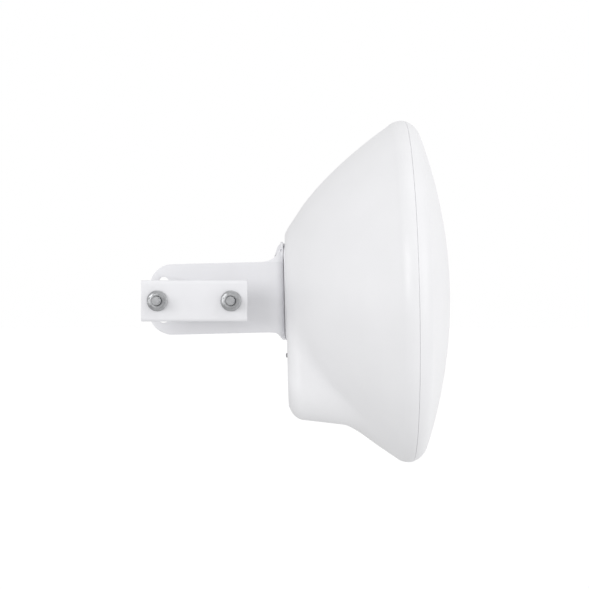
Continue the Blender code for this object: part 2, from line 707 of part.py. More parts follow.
def arm_trim(side):
    """Side view of what is cut away past the arm's top (side 1) or bottom (side -1) edge."""
    edge = ARM_HIGH if side > 0 else ARM_LOW
    start = 38 * mm if side > 0 else 43 * mm
    rise = 11.5 * mm if side > 0 else 7.6 * mm
    run = FLANGE_OUT_X - 3.6 * mm - start
    steps = 6
    curve = []
    for i in range(steps + 1):
        t = i / steps
        turn = t * math.pi / 2
        curve.append((start + run * math.sin(turn), edge + side * rise * (1 - math.cos(turn))))
    top = edge + side * 60 * mm
    last = FLANGE_OUT_X - 3.6 * mm
    return [(-150 * mm, edge)] + curve + [(last, top), (-150 * mm, top)]


def make_tilt_bracket(pivot):
    strip = prism(bend_outline(), "Z", FLANGE_LOW, FLANGE_HIGH)
    bracket = place("tilt_bracket", strip, "white_coat", pivot)
    for side in (1, -1):
        cut(bracket, cutter(prism(arm_trim(side), "Y", -5 * mm, 6 * mm), pivot))

    knee, above = ARM_HIGH + 11.5 * mm, FLANGE_HIGH + 24 * mm
    high_corner = [(-5 * mm, knee), (4 * mm, knee), (10 * mm, FLANGE_HIGH - 6 * mm)]
    high_corner += [(24 * mm, FLANGE_HIGH + 0.5 * mm), (24 * mm, above), (-5 * mm, above)]
    cut(bracket, cutter(prism(high_corner, "X", 40 * mm, 70 * mm), pivot))

    middle = (FLANGE_HIGH + FLANGE_LOW) / 2
    for side in (1, -1):
        lip_back = FLANGE_OUT_X - LIP_DEPTH - 2 * mm
        shape = [
            (lip_back, middle + side * 35 * mm),
            (lip_back + 3 * mm, middle + side * 39 * mm),
            (FLANGE_OUT_X - 7 * mm, middle + side * 52.2 * mm),
            (FLANGE_OUT_X + 1 * mm, middle + side * 56.4 * mm),
            (FLANGE_OUT_X + 1 * mm, middle + side * 80 * mm),
            (lip_back, middle + side * 80 * mm),
        ]
        cut(bracket, cutter(prism(shape, "Y", FLANGE_WIDTH - 6 * mm, FLANGE_WIDTH + 5 * mm), pivot))

    cut(bracket, cutter(prism(arm_end_waste(), "Y", -5 * mm, 8 * mm), pivot))
    slot = arc_slot(2 * BOLT_OFFSET, BOLT_RADIUS + 0.5 * mm)
    cut(bracket, cutter(prism(slot, "Y", -5 * mm, 8 * mm), pivot))
    square = BOLT_RADIUS + GAP
    cut(bracket, cutter(block((-square, -5 * mm, -square), (square, 8 * mm, square)), pivot))
    for y, z in insert_places():
        hole = turned([(40 * mm, 3.5 * mm), (70 * mm, 3.5 * mm)], 16)
        spot = (0, y + DISH_FROM_PIVOT.y, z + DISH_FROM_PIVOT.z)
        cut(bracket, cutter(hole, pivot, spot))


def arm_end_waste():
    """Side view of what is cut away outside the arm's rounded end."""
    corner = 26 * mm
    reach = ARM_END_RADIUS - corner
    top_turn = math.asin((ARM_HIGH - corner) / reach)
    low_turn = math.asin((ARM_LOW + corner) / reach)
    top_centre = (-reach * math.cos(top_turn), ARM_HIGH - corner)
    low_centre = (-reach * math.cos(low_turn), ARM_LOW + corner)
    edge = arc(top_centre, corner, math.pi / 2, math.pi - top_turn, 6)
    edge += arc((0, 0), ARM_END_RADIUS, math.pi - top_turn, math.pi - low_turn, 5)[1:-1]
    edge += arc(low_centre, corner, math.pi - low_turn, 1.5 * math.pi, 6)
    edge[0] = (edge[0][0], ARM_HIGH + 1 * mm)
    edge[-1] = (edge[-1][0], ARM_LOW - 1 * mm)
    far, out = -130 * mm, 70 * mm
    return edge + [(edge[-1][0], -out), (far, -out), (far, out), (edge[0][0], out)]


def arc_slot(radius, half_width):
    """The curved slot's outline, centred on the pivot."""
    low, high = math.pi - SLOT_HIGH, math.pi - SLOT_LOW
    steps = 6
    points = arc((0, 0), radius + half_width, low, high, steps)
    end = (radius * math.cos(high), radius * math.sin(high))
    points += arc(end, half_width, high, high + math.pi, 5)[1:-1]
    points += arc((0, 0), radius - half_width, high, low, steps)
    end = (radius * math.cos(low), radius * math.sin(low))
    points += arc(end, half_width, low + math.pi, low + math.tau, 5)[1:-1]
    return points


def make_bracket_fasteners(dish):
    seat = BACK_X - PAD_HEIGHT - SHEET - 2 * GAP
    for i, (y, z) in enumerate(insert_places(), 1):
        front, back = BACK_X - PAD_HEIGHT + GAP, INSERT_DEPTH_X
        body = [(front, 3.3 * mm), (front, 4.2 * mm), (back, 4.2 * mm), (back, 3.3 * mm)]
        place(f"mount_insert_{i}", turned_ring(body, 16), "brass", dish, (0, y, z))
        profile = [
            (seat - 6.4 * mm, 4.6 * mm),
            (seat - 1.4 * mm, 5.4 * mm),
            (seat - 1.2 * mm, 6.9 * mm),
            (seat, 6.9 * mm),
            (seat, 3.0 * mm),
            (-134.5 * mm, 3.0 * mm),
        ]
        place(f"bracket_screw_{i}", turned(profile, 12), "zinc_steel", dish, (0, y, z))


# ---- pole clamp and its two bolts ---------------------------------------------------------
def toothed_notch():
    """The V that grips the pole, seen along it, with teeth on both faces."""
    apex_y = -POLE_RADIUS / math.sin(NOTCH_HALF_ANGLE) - 0.4 * mm
    mouth_y = CLAMP_FRONT_Y + CLAMP_DEPTH + 1 * mm
    teeth, deep = 6, 1.1 * mm
    side = []
    for i in range(2 * teeth + 1):
        t = i / (2 * teeth)
        y = apex_y + (mouth_y - apex_y) * t
        x = (y - apex_y) * math.tan(NOTCH_HALF_ANGLE)
        bite = deep if i % 2 and i < 2 * teeth else 0.0
        side.append((x + bite * math.cos(NOTCH_HALF_ANGLE), y - bite * math.sin(NOTCH_HALF_ANGLE)))
    mirrored = [(-x, y) for x, y in reversed(side[1:])]
    return mirrored + side


def make_pole_clamp():
    front, back = CLAMP_FRONT_Y, CLAMP_FRONT_Y + CLAMP_DEPTH
    half, inner = CLAMP_HALF_Z, CLAMP_BEND - SHEET
    quarter = math.pi / 2
    outline = [(back, -half)]
    outline += arc((front + CLAMP_BEND, -half + CLAMP_BEND), CLAMP_BEND, 3 * quarter, 2 * quarter, 4)
    outline += arc((front + CLAMP_BEND, half - CLAMP_BEND), CLAMP_BEND, 2 * quarter, quarter, 4)
    outline += [(back, half), (back, half - SHEET)]
    outline += arc((front + CLAMP_BEND, half - SHEET - inner), inner, quarter, 2 * quarter, 2)
    outline += arc((front + CLAMP_BEND, -half + SHEET + inner), inner, 2 * quarter, 3 * quarter, 2)
    outline += [(back, -half + SHEET)]
    channel = prism(outline, "X", -CLAMP_HALF_X, CLAMP_HALF_X)
    clamp = place("pole_clamp", channel, "white_coat")
    cut(clamp, cutter(prism(toothed_notch(), "Z", -40 * mm, 40 * mm), None))
    for x, radius in ((BOLT_OFFSET, 5.8 * mm), (-BOLT_OFFSET, 6.2 * mm)):
        hole = turned([(-10 * mm, radius), (10 * mm, radius)], 20)
        cut(clamp, cutter(hole, None, (x, CLAMP_FRONT_Y, 0), (0, 0, quarter)))


def carriage_bolt(name, parent, location, rotation):
    """A domed-head bolt along -Y: the origin is on its axis at the arm's far face."""
    under = GAP
    length = SHEET - BOLT_END_Y + POLE_RADIUS
    head = [
        (-under - 5.0 * mm, 3.5 * mm),
        (-under - 4.1 * mm, 7.0 * mm),
        (-under - 1.8 * mm, 10.0 * mm),
        (-under, 10.4 * mm),
        (-under, BOLT_RADIUS),
        (length - 1.0 * mm, BOLT_RADIUS),
        (length, BOLT_RADIUS - 1.1 * mm),
    ]
    bolt = place(name, turned(head, 20), "zinc_steel", parent, location, rotation)
    neck = BOLT_RADIUS - 0.05 * mm
    square = block((-under - 0.5 * mm, -neck, -neck), (SHEET - 0.2 * mm, neck, neck))
    join(bolt, cutter(square, parent, location, rotation))


def hex_ring(x, flats, phase=0.0):
    return ring(x, flats / 2 / math.cos(math.pi / 6), 6, phase)


def make_flange_nut(name, location, rotation):
    """A hexagon on a round flange, its bore clear of the bolt."""
    bore, flats = BOLT_RADIUS + 0.8 * mm, 16 * mm
    flange = [(0.0, bore), (0.0, 11.4 * mm), (1.2 * mm, 11.4 * mm), (2.6 * mm, 8.4 * mm), (2.6 * mm, bore)]
    nut = place(name, turned_ring(flange, 24), "zinc_steel", None, location, rotation)
    body = capped([hex_ring(1.5 * mm, flats), hex_ring(10.0 * mm, flats)])
    join(nut, cutter(body, None, location, rotation))
    through = turned([(-5 * mm, bore), (15 * mm, bore)], 24)
    cut(nut, cutter(through, None, location, rotation))


def make_bolts_and_nuts(pivot):
    outwards = (0, 0, -math.pi / 2)
    carriage_bolt("pivot_bolt", pivot, (0, SHEET, 0), outwards)
    carriage_bolt("slot_bolt", None, (-BOLT_OFFSET, POLE_RADIUS + SHEET, 0), outwards)
    seat_y = CLAMP_FRONT_Y - GAP
    make_flange_nut("flange_nut_pivot", (BOLT_OFFSET, seat_y, 0), outwards)
    make_flange_nut("flange_nut_slot", (-BOLT_OFFSET, seat_y, 0), outwards)


def main():
    clear_scene()
    LOOKS.update(make_materials())
    pivot = frame("pivot_frame", None, (BOLT_OFFSET, POLE_RADIUS, 0), TILT_AT_REST)
    dish = frame("dish_frame", pivot, DISH_FROM_PIVOT)
    make_pole_clamp()
    make_bolts_and_nuts(pivot)
    make_tilt_bracket(pivot)
    make_bracket_fasteners(dish)
    make_rear_housing(dish)
    make_front_radome(dish)
    make_rim_gasket(dish)
    make_reflector(dish)
    make_feed(dish)
    make_electronics(dish)
    make_port_bay(dish)
    make_port_door(dish)
    make_reset_button(dish)


LOOKS = {}
main()
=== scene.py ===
"""Fine surfaces, finishes and studio for an outdoor wireless bridge.

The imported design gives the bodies, the joints and the places. Each operator below builds one piece
or group of like pieces, in millimetres, in the frame of the part that carries it:

    clamp frame   the world: origin on the pole's axis, +Z up the pole, +Y towards the arm
    head frame    origin on the pivot bolt's axis at the arm's pole-side face, tilted with the dish
    dish frame    origin on the boresight at the seam plane, +X where the dish looks
"""

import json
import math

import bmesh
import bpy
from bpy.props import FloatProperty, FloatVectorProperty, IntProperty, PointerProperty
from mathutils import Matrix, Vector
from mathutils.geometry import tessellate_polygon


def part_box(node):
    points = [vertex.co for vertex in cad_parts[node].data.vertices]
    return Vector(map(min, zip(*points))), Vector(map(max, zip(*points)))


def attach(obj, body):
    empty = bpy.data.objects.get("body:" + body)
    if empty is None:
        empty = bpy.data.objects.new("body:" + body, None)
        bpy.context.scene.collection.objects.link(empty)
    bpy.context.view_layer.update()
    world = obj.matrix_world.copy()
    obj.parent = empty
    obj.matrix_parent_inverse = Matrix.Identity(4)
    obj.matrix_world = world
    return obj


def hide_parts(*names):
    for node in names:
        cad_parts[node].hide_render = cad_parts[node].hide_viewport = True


bl_info = {
    "name": "Wireless Bridge",
    "version": (1, 0, 0),
    "blender": (4, 5, 0),
    "location": "3D View > Sidebar > Wireless Bridge",
    "description": "Builds the fine surfaces, finishes and studio of an outdoor wireless bridge",
    "category": "Object",
}

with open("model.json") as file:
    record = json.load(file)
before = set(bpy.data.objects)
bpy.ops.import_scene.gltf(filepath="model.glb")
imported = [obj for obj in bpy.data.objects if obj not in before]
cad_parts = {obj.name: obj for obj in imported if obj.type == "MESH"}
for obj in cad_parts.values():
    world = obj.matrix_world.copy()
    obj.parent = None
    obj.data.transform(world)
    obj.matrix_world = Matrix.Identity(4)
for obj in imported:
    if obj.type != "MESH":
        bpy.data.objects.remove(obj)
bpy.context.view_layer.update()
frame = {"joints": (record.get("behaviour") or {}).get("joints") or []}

MM = 0.001
QUARTER = math.pi / 2
JOINTS = {joint["name"]: joint for joint in frame["joints"]}

# the three frames, from the design's joints and from the ring of the rim seal
PIVOT = Vector(JOINTS["elevation"]["pos_m"])
UPWARD = Vector(JOINTS["reset_press"]["axis"])
TILT = math.atan2(-UPWARD.x, UPWARD.z)
TILTED = Matrix.Rotation(-TILT, 4, "Y")
SEAL_LOW, SEAL_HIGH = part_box("rim_gasket")
SEAL_TO_SEAM = 3.5
CLAMP_FRAME = Matrix.Scale(MM, 4)
HEAD_FRAME = Matrix.Translation(PIVOT) @ TILTED @ CLAMP_FRAME
DISH_FRAME = (
    Matrix.Translation((SEAL_LOW + SEAL_HIGH) / 2)
    @ TILTED
    @ Matrix.Translation((SEAL_TO_SEAM * MM, 0, 0))
    @ CLAMP_FRAME
)
DISH_IN_HEAD = HEAD_FRAME.inverted() @ DISH_FRAME


# ---- sizes and colours that a user would change -------------------------------------------
def linear(hex_colour):
    """An sRGB hex colour as linear red, green and blue."""
    parts = [int(hex_colour[i : i + 2], 16) / 255 for i in (1, 3, 5)]
    return [c / 12.92 if c <= 0.04045 else ((c + 0.055) / 1.055) ** 2.4 for c in parts]


def length(name, description, millimetres):
    return FloatProperty(
        name=name, description=description, default=millimetres * MM, unit="LENGTH", subtype="DISTANCE"
    )


def colour(name, description, hex_colour):
    return FloatVectorProperty(
        name=name, description=description, default=linear(hex_colour), subtype="COLOR", min=0.0, max=1.0
    )


class BridgeSizes(bpy.types.PropertyGroup):
    rim_radius: length("Rim radius", "Largest radius of the dish body", 196.3)
    rim_round: length("Rim roundover", "Radius of the roundover at the rim", 22.0)
    dome_radius: length("Dome radius", "Radius of the radome's shallow dome", 534.0)
    apex: length("Dome height", "Height of the dome's middle over the seam plane", 47.1)
    body_depth: length("Body depth", "From the seam plane back to the flat rear face", 140.0)
    shell_wall: length("Shell wall", "Wall of the moulded rear shell", 3.6)
    seam_chamfer: length("Seam chamfer", "Width of the soft edge on each side of the seam", 0.6)
    bulge_half_width: length("Bulge half width", "Half the width of the electronics bulge", 77.0)
    bulge_floor: length("Bulge floor", "From the boresight down to the bulge's floor", 140.1)
    sheet: length("Sheet", "Thickness of the bracket's and the clamp's steel sheet", 3.0)
    sheet_edge: length("Sheet edge", "Rounding of the coated sheet's edges", 0.6)
    bolt_radius: length("Bolt radius", "Outer radius of the clamp bolts' thread", 5.0)
    bolt_pitch: length("Bolt pitch", "Pitch of the clamp bolts' thread", 1.5)
    around: IntProperty(name="Segments", description="Segments round the dish", default=288, min=96)


class BridgeColours(bpy.types.PropertyGroup):
    plastic: colour("Housing", "Moulded ASA of the shells", "#EDEDEF")
    coat: colour("Powder coat", "Coat on the bracket and the clamp", "#E9E9EC")
    zinc: colour("Zinc", "Zinc plating on bolts, nuts and screws", "#B9BABC")
    rubber: colour("Rubber", "Seals and the cable grommet", "#242526")
    aluminium: colour("Aluminium", "Reflector, feed and heat sink", "#D5D7D9")
    laminate: colour("Board", "Solder mask on the radio board", "#1D5C39")
    dark_plastic: colour("Dark plastic", "Chips, button and vent", "#1D1E20")
    brass: colour("Brass", "Threaded inserts", "#C9A65C")
    resin: colour("Resin", "Feed cone", "#E6E0CF")
    light_pipe: colour("Light pipe", "Clear polycarbonate light pipes", "#EFF3F7")
    floor: colour("Floor", "Studio floor", "#FAFAFA")


class StageSettings(bpy.types.PropertyGroup):
    lens: FloatProperty(name="Lens", description="Focal length in millimetres", default=107.0, min=1.0)
    camera_place: FloatVectorProperty(
        name="Camera",
        description="Where the camera stands",
        default=(0.110, -1.951, 0.0070),
        subtype="TRANSLATION",
    )
    floor_drop: length("Floor drop", "How far the floor lies below the pole clamp", 1200.0)
    sky: FloatProperty(name="Sky", description="Strength of the surround's light from above", default=1.0)
    ground: FloatProperty(
        name="Ground", description="Strength of the surround's light from below", default=0.96
    )
    pole_side: FloatProperty(
        name="Pole side", description="Share of that light from the pole's side", default=0.66
    )
    key: FloatProperty(name="Key light", description="Power of the main soft box in watts", default=19.5)


def sizes():
    return bpy.context.scene.bridge_sizes


def in_mm(value):
    return value / MM


# ---- shapes: points and faces, in millimetres ---------------------------------------------
def lofted(rings, closed=False):
    """A skin over the rings. A ring of one point is a tip, and other end rings get a flat cap."""
    points, faces, starts = [], [], []
    for ring in rings:
        starts.append(len(points))
        points.extend(ring)
    count = len(rings)
    for a in range(count if closed else count - 1):
        b = (a + 1) % count
        around = max(len(rings[a]), len(rings[b]))
        for i in range(around):
            j = (i + 1) % around
            if len(rings[a]) == 1:
                faces.append((starts[a], starts[b] + j, starts[b] + i))
            elif len(rings[b]) == 1:
                faces.append((starts[a] + i, starts[a] + j, starts[b]))
            else:
                faces.append((starts[a] + i, starts[a] + j, starts[b] + j, starts[b] + i))
    if not closed:
        for start, ring in ((starts[0], rings[0]), (starts[-1], rings[-1])):
            if len(ring) > 1:
                faces.append(tuple(range(start, start + len(ring))))
    return points, faces


def joined(*shapes):
    points, faces = [], []
    for more_points, more_faces in shapes:
        start = len(points)
        points.extend(more_points)
        faces.extend(tuple(start + i for i in face) for face in more_faces)
    return points, faces


def moved(shape, matrix):
    return [matrix @ Vector(point) for point in shape[0]], shape[1]


def at(x, y, z):
    return Matrix.Translation((x, y, z))


def polar_ring(x, radius_at, count):
    """A ring about X. radius_at is a number or a function of the angle from +Y."""
    points = []
    for i in range(count):
        angle = math.tau * i / count
        radius = radius_at(angle) if callable(radius_at) else radius_at
        points.append(Vector((x, radius * math.cos(angle), radius * math.sin(angle))))
    return points


def turned(profile, count=48):
    """A solid turned about X from (x, radius) pairs. A radius of 0 closes to a tip."""
    return lofted([polar_ring(x, r, count) if r > 1e-6 else [Vector((x, 0, 0))] for x, r in profile])


def turned_ring(section, count=48):
    """A ring turned about X from the closed outline of its section."""
    return lofted([polar_ring(x, r, count) for x, r in section], closed=True)


def arc(centre, radius, start, end, steps):
    turns = [start + (end - start) * i / steps for i in range(steps + 1)]
    return [(centre[0] + radius * math.cos(a), centre[1] + radius * math.sin(a)) for a in turns]


def rounded(low, high, radius, steps=8):
    """A rounded rectangle's outline, anticlockwise."""
    corners = [
        (high[0] - radius, low[1] + radius, -QUARTER),
        (high[0] - radius, high[1] - radius, 0.0),
        (low[0] + radius, high[1] - radius, QUARTER),
        (low[0] + radius, low[1] + radius, 2 * QUARTER),
    ]
    outline = []
    for a, b, start in corners:
        outline += arc((a, b), radius, start, start + QUARTER, steps)
    return outline


def circle(centre, radius, steps=40):
    return arc(centre, radius, 0.0, math.tau, steps)[:-1]


def signed_area(outline):
    following = outline[1:] + outline[:1]
    return sum(a[0] * b[1] - b[0] * a[1] for a, b in zip(outline, following)) / 2


def inset(outline, distance):
    """The outline moved to the left of its direction by the distance, with mitred corners."""
    result = []
    for i, here in enumerate(outline):
        before, after = Vector(outline[i - 1]), Vector(outline[(i + 1) % len(outline)])
        first = (Vector(here) - before).normalized()
        second = (after - Vector(here)).normalized()
        left = Vector((-first.y - second.y, first.x + second.x))
        scale = max(1.0 + first.dot(second), 0.3)
        result.append(tuple(Vector(here) + left * distance / scale))
    return result


def plate(outer, holes=(), thickness=3.0, edge=0.5, steps=3):
    """A flat plate over (u, v) from w = 0 to its thickness, with holes and rounded edges."""
    loops = [outer if signed_area(outer) > 0 else outer[::-1]]
    loops += [hole if signed_area(hole) < 0 else hole[::-1] for hole in holes]
    levels = []
    for i in range(steps + 1):
        turn = QUARTER * i / steps
        levels.append((edge * (1 - math.sin(turn)), edge * (1 - math.cos(turn))))
    levels += [(inward, thickness - up) for inward, up in reversed(levels)]
    shapes = []
    for loop in loops:
        rings = [[Vector((*point, w)) for point in inset(loop, inward)] for inward, w in levels]
        points, faces = lofted(rings)
        shapes.append((points, faces[:-2]))
    low_rims = [[Vector((*point, 0.0)) for point in inset(loop, edge)] for loop in loops]
    fill = tessellate_polygon(low_rims)
    flat = [point for rim in low_rims for point in rim]
    high = [Vector((point.x, point.y, thickness)) for point in flat]
    shapes.append((flat, [tuple(face) for face in fill]))
    shapes.append((high, [tuple(reversed(face)) for face in fill]))
    return joined(*shapes)


def standing(shape, axis):
    """Turns a plate so that its w runs along the axis and (u, v) become the other two, in order."""
    order = {"X": (2, 0, 1), "Y": (0, 2, 1), "Z": (0, 1, 2)}[axis]
    return [Vector((p[order[0]], p[order[1]], p[order[2]])) for p in shape[0]], shape[1]


def slab(low, high, edge=0.4, corner=1.0, axis="Z"):
    """A block between two corners, with rounded corners along one axis and soft edges."""
    letters = {"X": (1, 2, 0), "Y": (0, 2, 1), "Z": (0, 1, 2)}[axis]
    u, v, w = letters
    outline = rounded((low[u], low[v]), (high[u], high[v]), corner, 4)
    shape = standing(plate(outline, (), high[w] - low[w], edge, 2), axis)
    shift = Vector([low[w] if i == w else 0.0 for i in range(3)])
    return moved(shape, Matrix.Translation(shift))


def bent(shape, bends, creases=()):
    """Folds a flat blank about lines of constant u. Each bend is (u, angle, outer radius).

    The creases are heights v along which the blank is also divided.
    """
    mesh = mesh_of("blank", shape)
    bm = bmesh.new()
    bm.from_mesh(mesh)
    bmesh.ops.remove_doubles(bm, verts=bm.verts, dist=0.0005)
    steps = 10
    for start, angle, radius in bends:
        for i in range(steps + 1):
            cut = start + radius * angle * i / steps
            geometry = bm.verts[:] + bm.edges[:] + bm.faces[:]
            bmesh.ops.bisect_plane(bm, geom=geometry, plane_co=(cut, 0, 0), plane_no=(1, 0, 0), dist=1e-5)
    for height in creases:
        geometry = bm.verts[:] + bm.edges[:] + bm.faces[:]
        bmesh.ops.bisect_plane(bm, geom=geometry, plane_co=(0, height, 0), plane_no=(0, 1, 0), dist=1e-5)
    for vert in bm.verts:
        vert.co = folded(vert.co, bends)
    bm.to_mesh(mesh)
    bm.free()
    shape = [vert.co.copy() for vert in mesh.vertices], [tuple(face.vertices) for face in mesh.polygons]
    bpy.data.meshes.remove(mesh)
    return shape


def folded(point, bends):
    """Where a point (u, v, w) of the blank goes: (along, across, v), w = 0 on the bends' outside."""
    u, v, w = point
    spot, heading, reached = Vector((0.0, 0.0)), 0.0, 0.0
    for start, angle, radius in bends:
        if u <= start:
            break
        ahead = Vector((math.cos(heading), math.sin(heading)))
        left = Vector((-ahead.y, ahead.x))
        spot = spot + ahead * (start - reached)
        turn = min((u - start) / radius, angle)
        centre = spot + left * radius
        spot = centre + ahead * radius * math.sin(turn) - left * radius * math.cos(turn)
        heading += turn
        reached = start + radius * turn
    ahead = Vector((math.cos(heading), math.sin(heading)))
    left = Vector((-ahead.y, ahead.x))
    spot = spot + ahead * (u - reached) + left * w
    return Vector((spot.x, spot.y, v))


def mesh_of(name, shape):
    mesh = bpy.data.meshes.new(name)
    mesh.from_pydata([tuple(point) for point in shape[0]], [], shape[1])
    bm = bmesh.new()
    bm.from_mesh(mesh)
    bmesh.ops.remove_doubles(bm, verts=bm.verts, dist=0.0005)
    bmesh.ops.recalc_face_normals(bm, faces=bm.faces)
    bm.to_mesh(mesh)
    bm.free()
    return mesh


def carved(mesh, add=(), cut=()):
    """The mesh with solids joined on and others cut away."""
    obj = bpy.data.objects.new("carving", mesh)
    bpy.context.scene.collection.objects.link(obj)
    tools = []
    for operation, shapes in (("UNION", add), ("DIFFERENCE", cut)):
        for shape in shapes:
            tool = bpy.data.objects.new("tool", mesh_of("tool", shape))
            bpy.context.scene.collection.objects.link(tool)
            tools.append(tool)
            step = obj.modifiers.new("Carve", "BOOLEAN")
            step.operation, step.solver, step.object = operation, "EXACT", tool
    graph = bpy.context.evaluated_depsgraph_get()
    result = bpy.data.meshes.new_from_object(obj.evaluated_get(graph))
    for tool in [obj, *tools]:
        bpy.data.objects.remove(tool)
    return result


def piece(name, shape, finish, body, replaces=(), place=DISH_FRAME, add=(), cut=(), sharp=30):
    """Makes a visible piece that rides on a body and stands for its design nodes."""
    mesh = mesh_of(name, shape)
    if add or cut:
        mesh = carved(mesh, add, cut)
        mesh.name = name
    mesh.transform(place)
    mesh.materials.clear()
    mesh.materials.append(finish)
    mesh.shade_smooth()
    mesh.set_sharp_from_angle(angle=math.radians(sharp))
    obj = bpy.data.objects.new(name, mesh)
    bpy.context.scene.collection.objects.link(obj)
    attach(obj, body)
    if replaces:
        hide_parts(*replaces)
    return obj


# ---- materials ----------------------------------------------------------------------------
def add_node(tree, kind, settings=None, **inputs):
    """Adds a node. A setting is an attribute, and an input is a value or another node's socket."""
    node = tree.nodes.new(kind)
    for key, value in (settings or {}).items():
        setattr(node, key, value)
    for key, value in inputs.items():
        socket = node.inputs[key.replace("_", " ")]
        if isinstance(value, bpy.types.NodeSocket):
            tree.links.new(value, socket)
        else:
            socket.default_value = value
    return node


def new_material(name, **values):
    """A Principled material, its node tree and its shader."""
    made = bpy.data.materials.get(name)
    if made:
        return made, None, None
    made = bpy.data.materials.new(name)
    made.use_nodes = True
    shader = made.node_tree.nodes["Principled BSDF"]
    for key, value in values.items():
        shader.inputs[key.replace("_", " ")].default_value = value
    return made, made.node_tree, shader


def per_mm(size):
    """The texture scale that makes features of this size in millimetres, on metre coordinates."""
    return 1.0 / (size * MM)


def places(tree):
    return add_node(tree, "ShaderNodeTexCoord").outputs["Object"]


def noise(tree, size, detail=2.0, roughness=0.5):
    """Noise with features of the given size in millimetres."""
    made = add_node(
        tree,
        "ShaderNodeTexNoise",
        Vector=places(tree),
        Scale=per_mm(size),
        Detail=detail,
        Roughness=roughness,
    )
    return made.outputs["Factor" if "Factor" in made.outputs else "Fac"]


def spread(tree, value, low, high, start=0.3, end=0.7):
    """Maps a texture value from start..end to low..high."""
    settings = {"clamp": True}
    made = add_node(
        tree,
        "ShaderNodeMapRange",
        settings,
        Value=value,
        From_Min=start,
        From_Max=end,
        To_Min=low,
        To_Max=high,
    )
    return made.outputs["Result"]


def shades(tree, value, dark, light):
    """A colour between two, by a texture value."""
    made = add_node(tree, "ShaderNodeMix", {"data_type": "RGBA"})
    tree.links.new(value, made.inputs[0])
    made.inputs[6].default_value = (*dark, 1.0)
    made.inputs[7].default_value = (*light, 1.0)
    return made.outputs[2]


def relief(tree, shader, value, height, strength=1.0):
    """Bump from a texture value, its full height in millimetres."""
    bump = add_node(tree, "ShaderNodeBump", Strength=strength, Distance=height * MM, Height=value)
    tree.links.new(bump.outputs["Normal"], shader.inputs["Normal"])


def darker(rgb, share):
    return [c * share for c in rgb]


def moulded_asa():
    """Injection-moulded white ASA: a fine spark-eroded texture breaks the gloss into a soft sheen."""
    made, tree, shader = new_material("moulded_asa", IOR=1.52, Roughness=0.36)
    if tree:
        base = list(bpy.context.scene.bridge_colours.plastic)
        tint = spread(tree, noise(tree, 55.0), 0.0, 1.0)
        tree.links.new(shades(tree, tint, darker(base, 0.975), base), shader.inputs["Base Color"])
        tree.links.new(spread(tree, noise(tree, 18.0, 4.0), 0.33, 0.41), shader.inputs["Roughness"])
        # the real grain is 0.1 mm; it is drawn at 0.9 mm so that it still shows
        relief(tree, shader, noise(tree, 0.9, 3.0, 0.6), 0.012, 0.35)
    return made


def powder_coat():
    """White polyester powder coat on steel: baked flow leaves a faint orange peel."""
    made, tree, shader = new_material("polyester_powder_coat", IOR=1.5, Roughness=0.42)
    if tree:
        base = list(bpy.context.scene.bridge_colours.coat)
        tint = spread(tree, noise(tree, 30.0), 0.0, 1.0)
        tree.links.new(shades(tree, tint, darker(base, 0.97), base), shader.inputs["Base Color"])
        tree.links.new(spread(tree, noise(tree, 9.0, 3.0), 0.37, 0.47), shader.inputs["Roughness"])
        relief(tree, shader, noise(tree, 2.2, 2.0), 0.03, 0.4)
    return made


def zinc_plate():
    """Bright zinc plating on rolled steel: cloudy patches, faint chromate tint and fine scratches."""
    made, tree, shader = new_material("zinc_plated_steel", Metallic=1.0, Roughness=0.34)
    if tree:
        base = list(bpy.context.scene.bridge_colours.zinc)
        cloud = spread(tree, noise(tree, 4.0, 4.0, 0.6), 0.0, 1.0)
        tree.links.new(shades(tree, cloud, darker(base, 0.72), base), shader.inputs["Base Color"])
        tree.links.new(spread(tree, noise(tree, 1.6, 5.0, 0.7), 0.24, 0.5), shader.inputs["Roughness"])
        relief(tree, shader, noise(tree, 0.7, 4.0, 0.7), 0.02, 0.5)
    return made


def moulded_rubber():
    """Moulded silicone rubber: matt, with a dusty bloom."""
    made, tree, shader = new_material("moulded_silicone_rubber", IOR=1.41, Roughness=0.78)
    if tree:
        base = list(bpy.context.scene.bridge_colours.rubber)
        bloom = spread(tree, noise(tree, 6.0, 5.0, 0.65), 0.0, 1.0, 0.35, 0.75)
        lighter = [c + 0.02 for c in base]
        tree.links.new(shades(tree, bloom, base, lighter), shader.inputs["Base Color"])
        relief(tree, shader, noise(tree, 0.8, 3.0), 0.03, 0.5)
    return made


def spun_aluminium():
    """Aluminium spun or turned about the boresight: fine rings catch the light."""
    made, tree, shader = new_material("spun_aluminium", Metallic=1.0, Roughness=0.3)
    if tree:
        base = list(bpy.context.scene.bridge_colours.aluminium)
        settings = {"wave_type": "RINGS", "rings_direction": "X"}
        middle = DISH_FRAME.translation
        local = add_node(tree, "ShaderNodeMapping", Vector=places(tree), Location=tuple(-middle))
        # the tool's real feed is 0.2 mm; its rings are drawn 1.2 mm apart so that they show
        rings = add_node(
            tree,
            "ShaderNodeTexWave",
            settings,
            Vector=local.outputs["Vector"],
            Scale=per_mm(1.2) / 20,
            Distortion=0.6,
            Detail=1.0,
        ).outputs["Color"]
        tree.links.new(shades(tree, rings, darker(base, 0.86), base), shader.inputs["Base Color"])
        tree.links.new(spread(tree, noise(tree, 7.0, 3.0), 0.24, 0.38), shader.inputs["Roughness"])
        relief(tree, shader, rings, 0.02, 0.3)
    return made


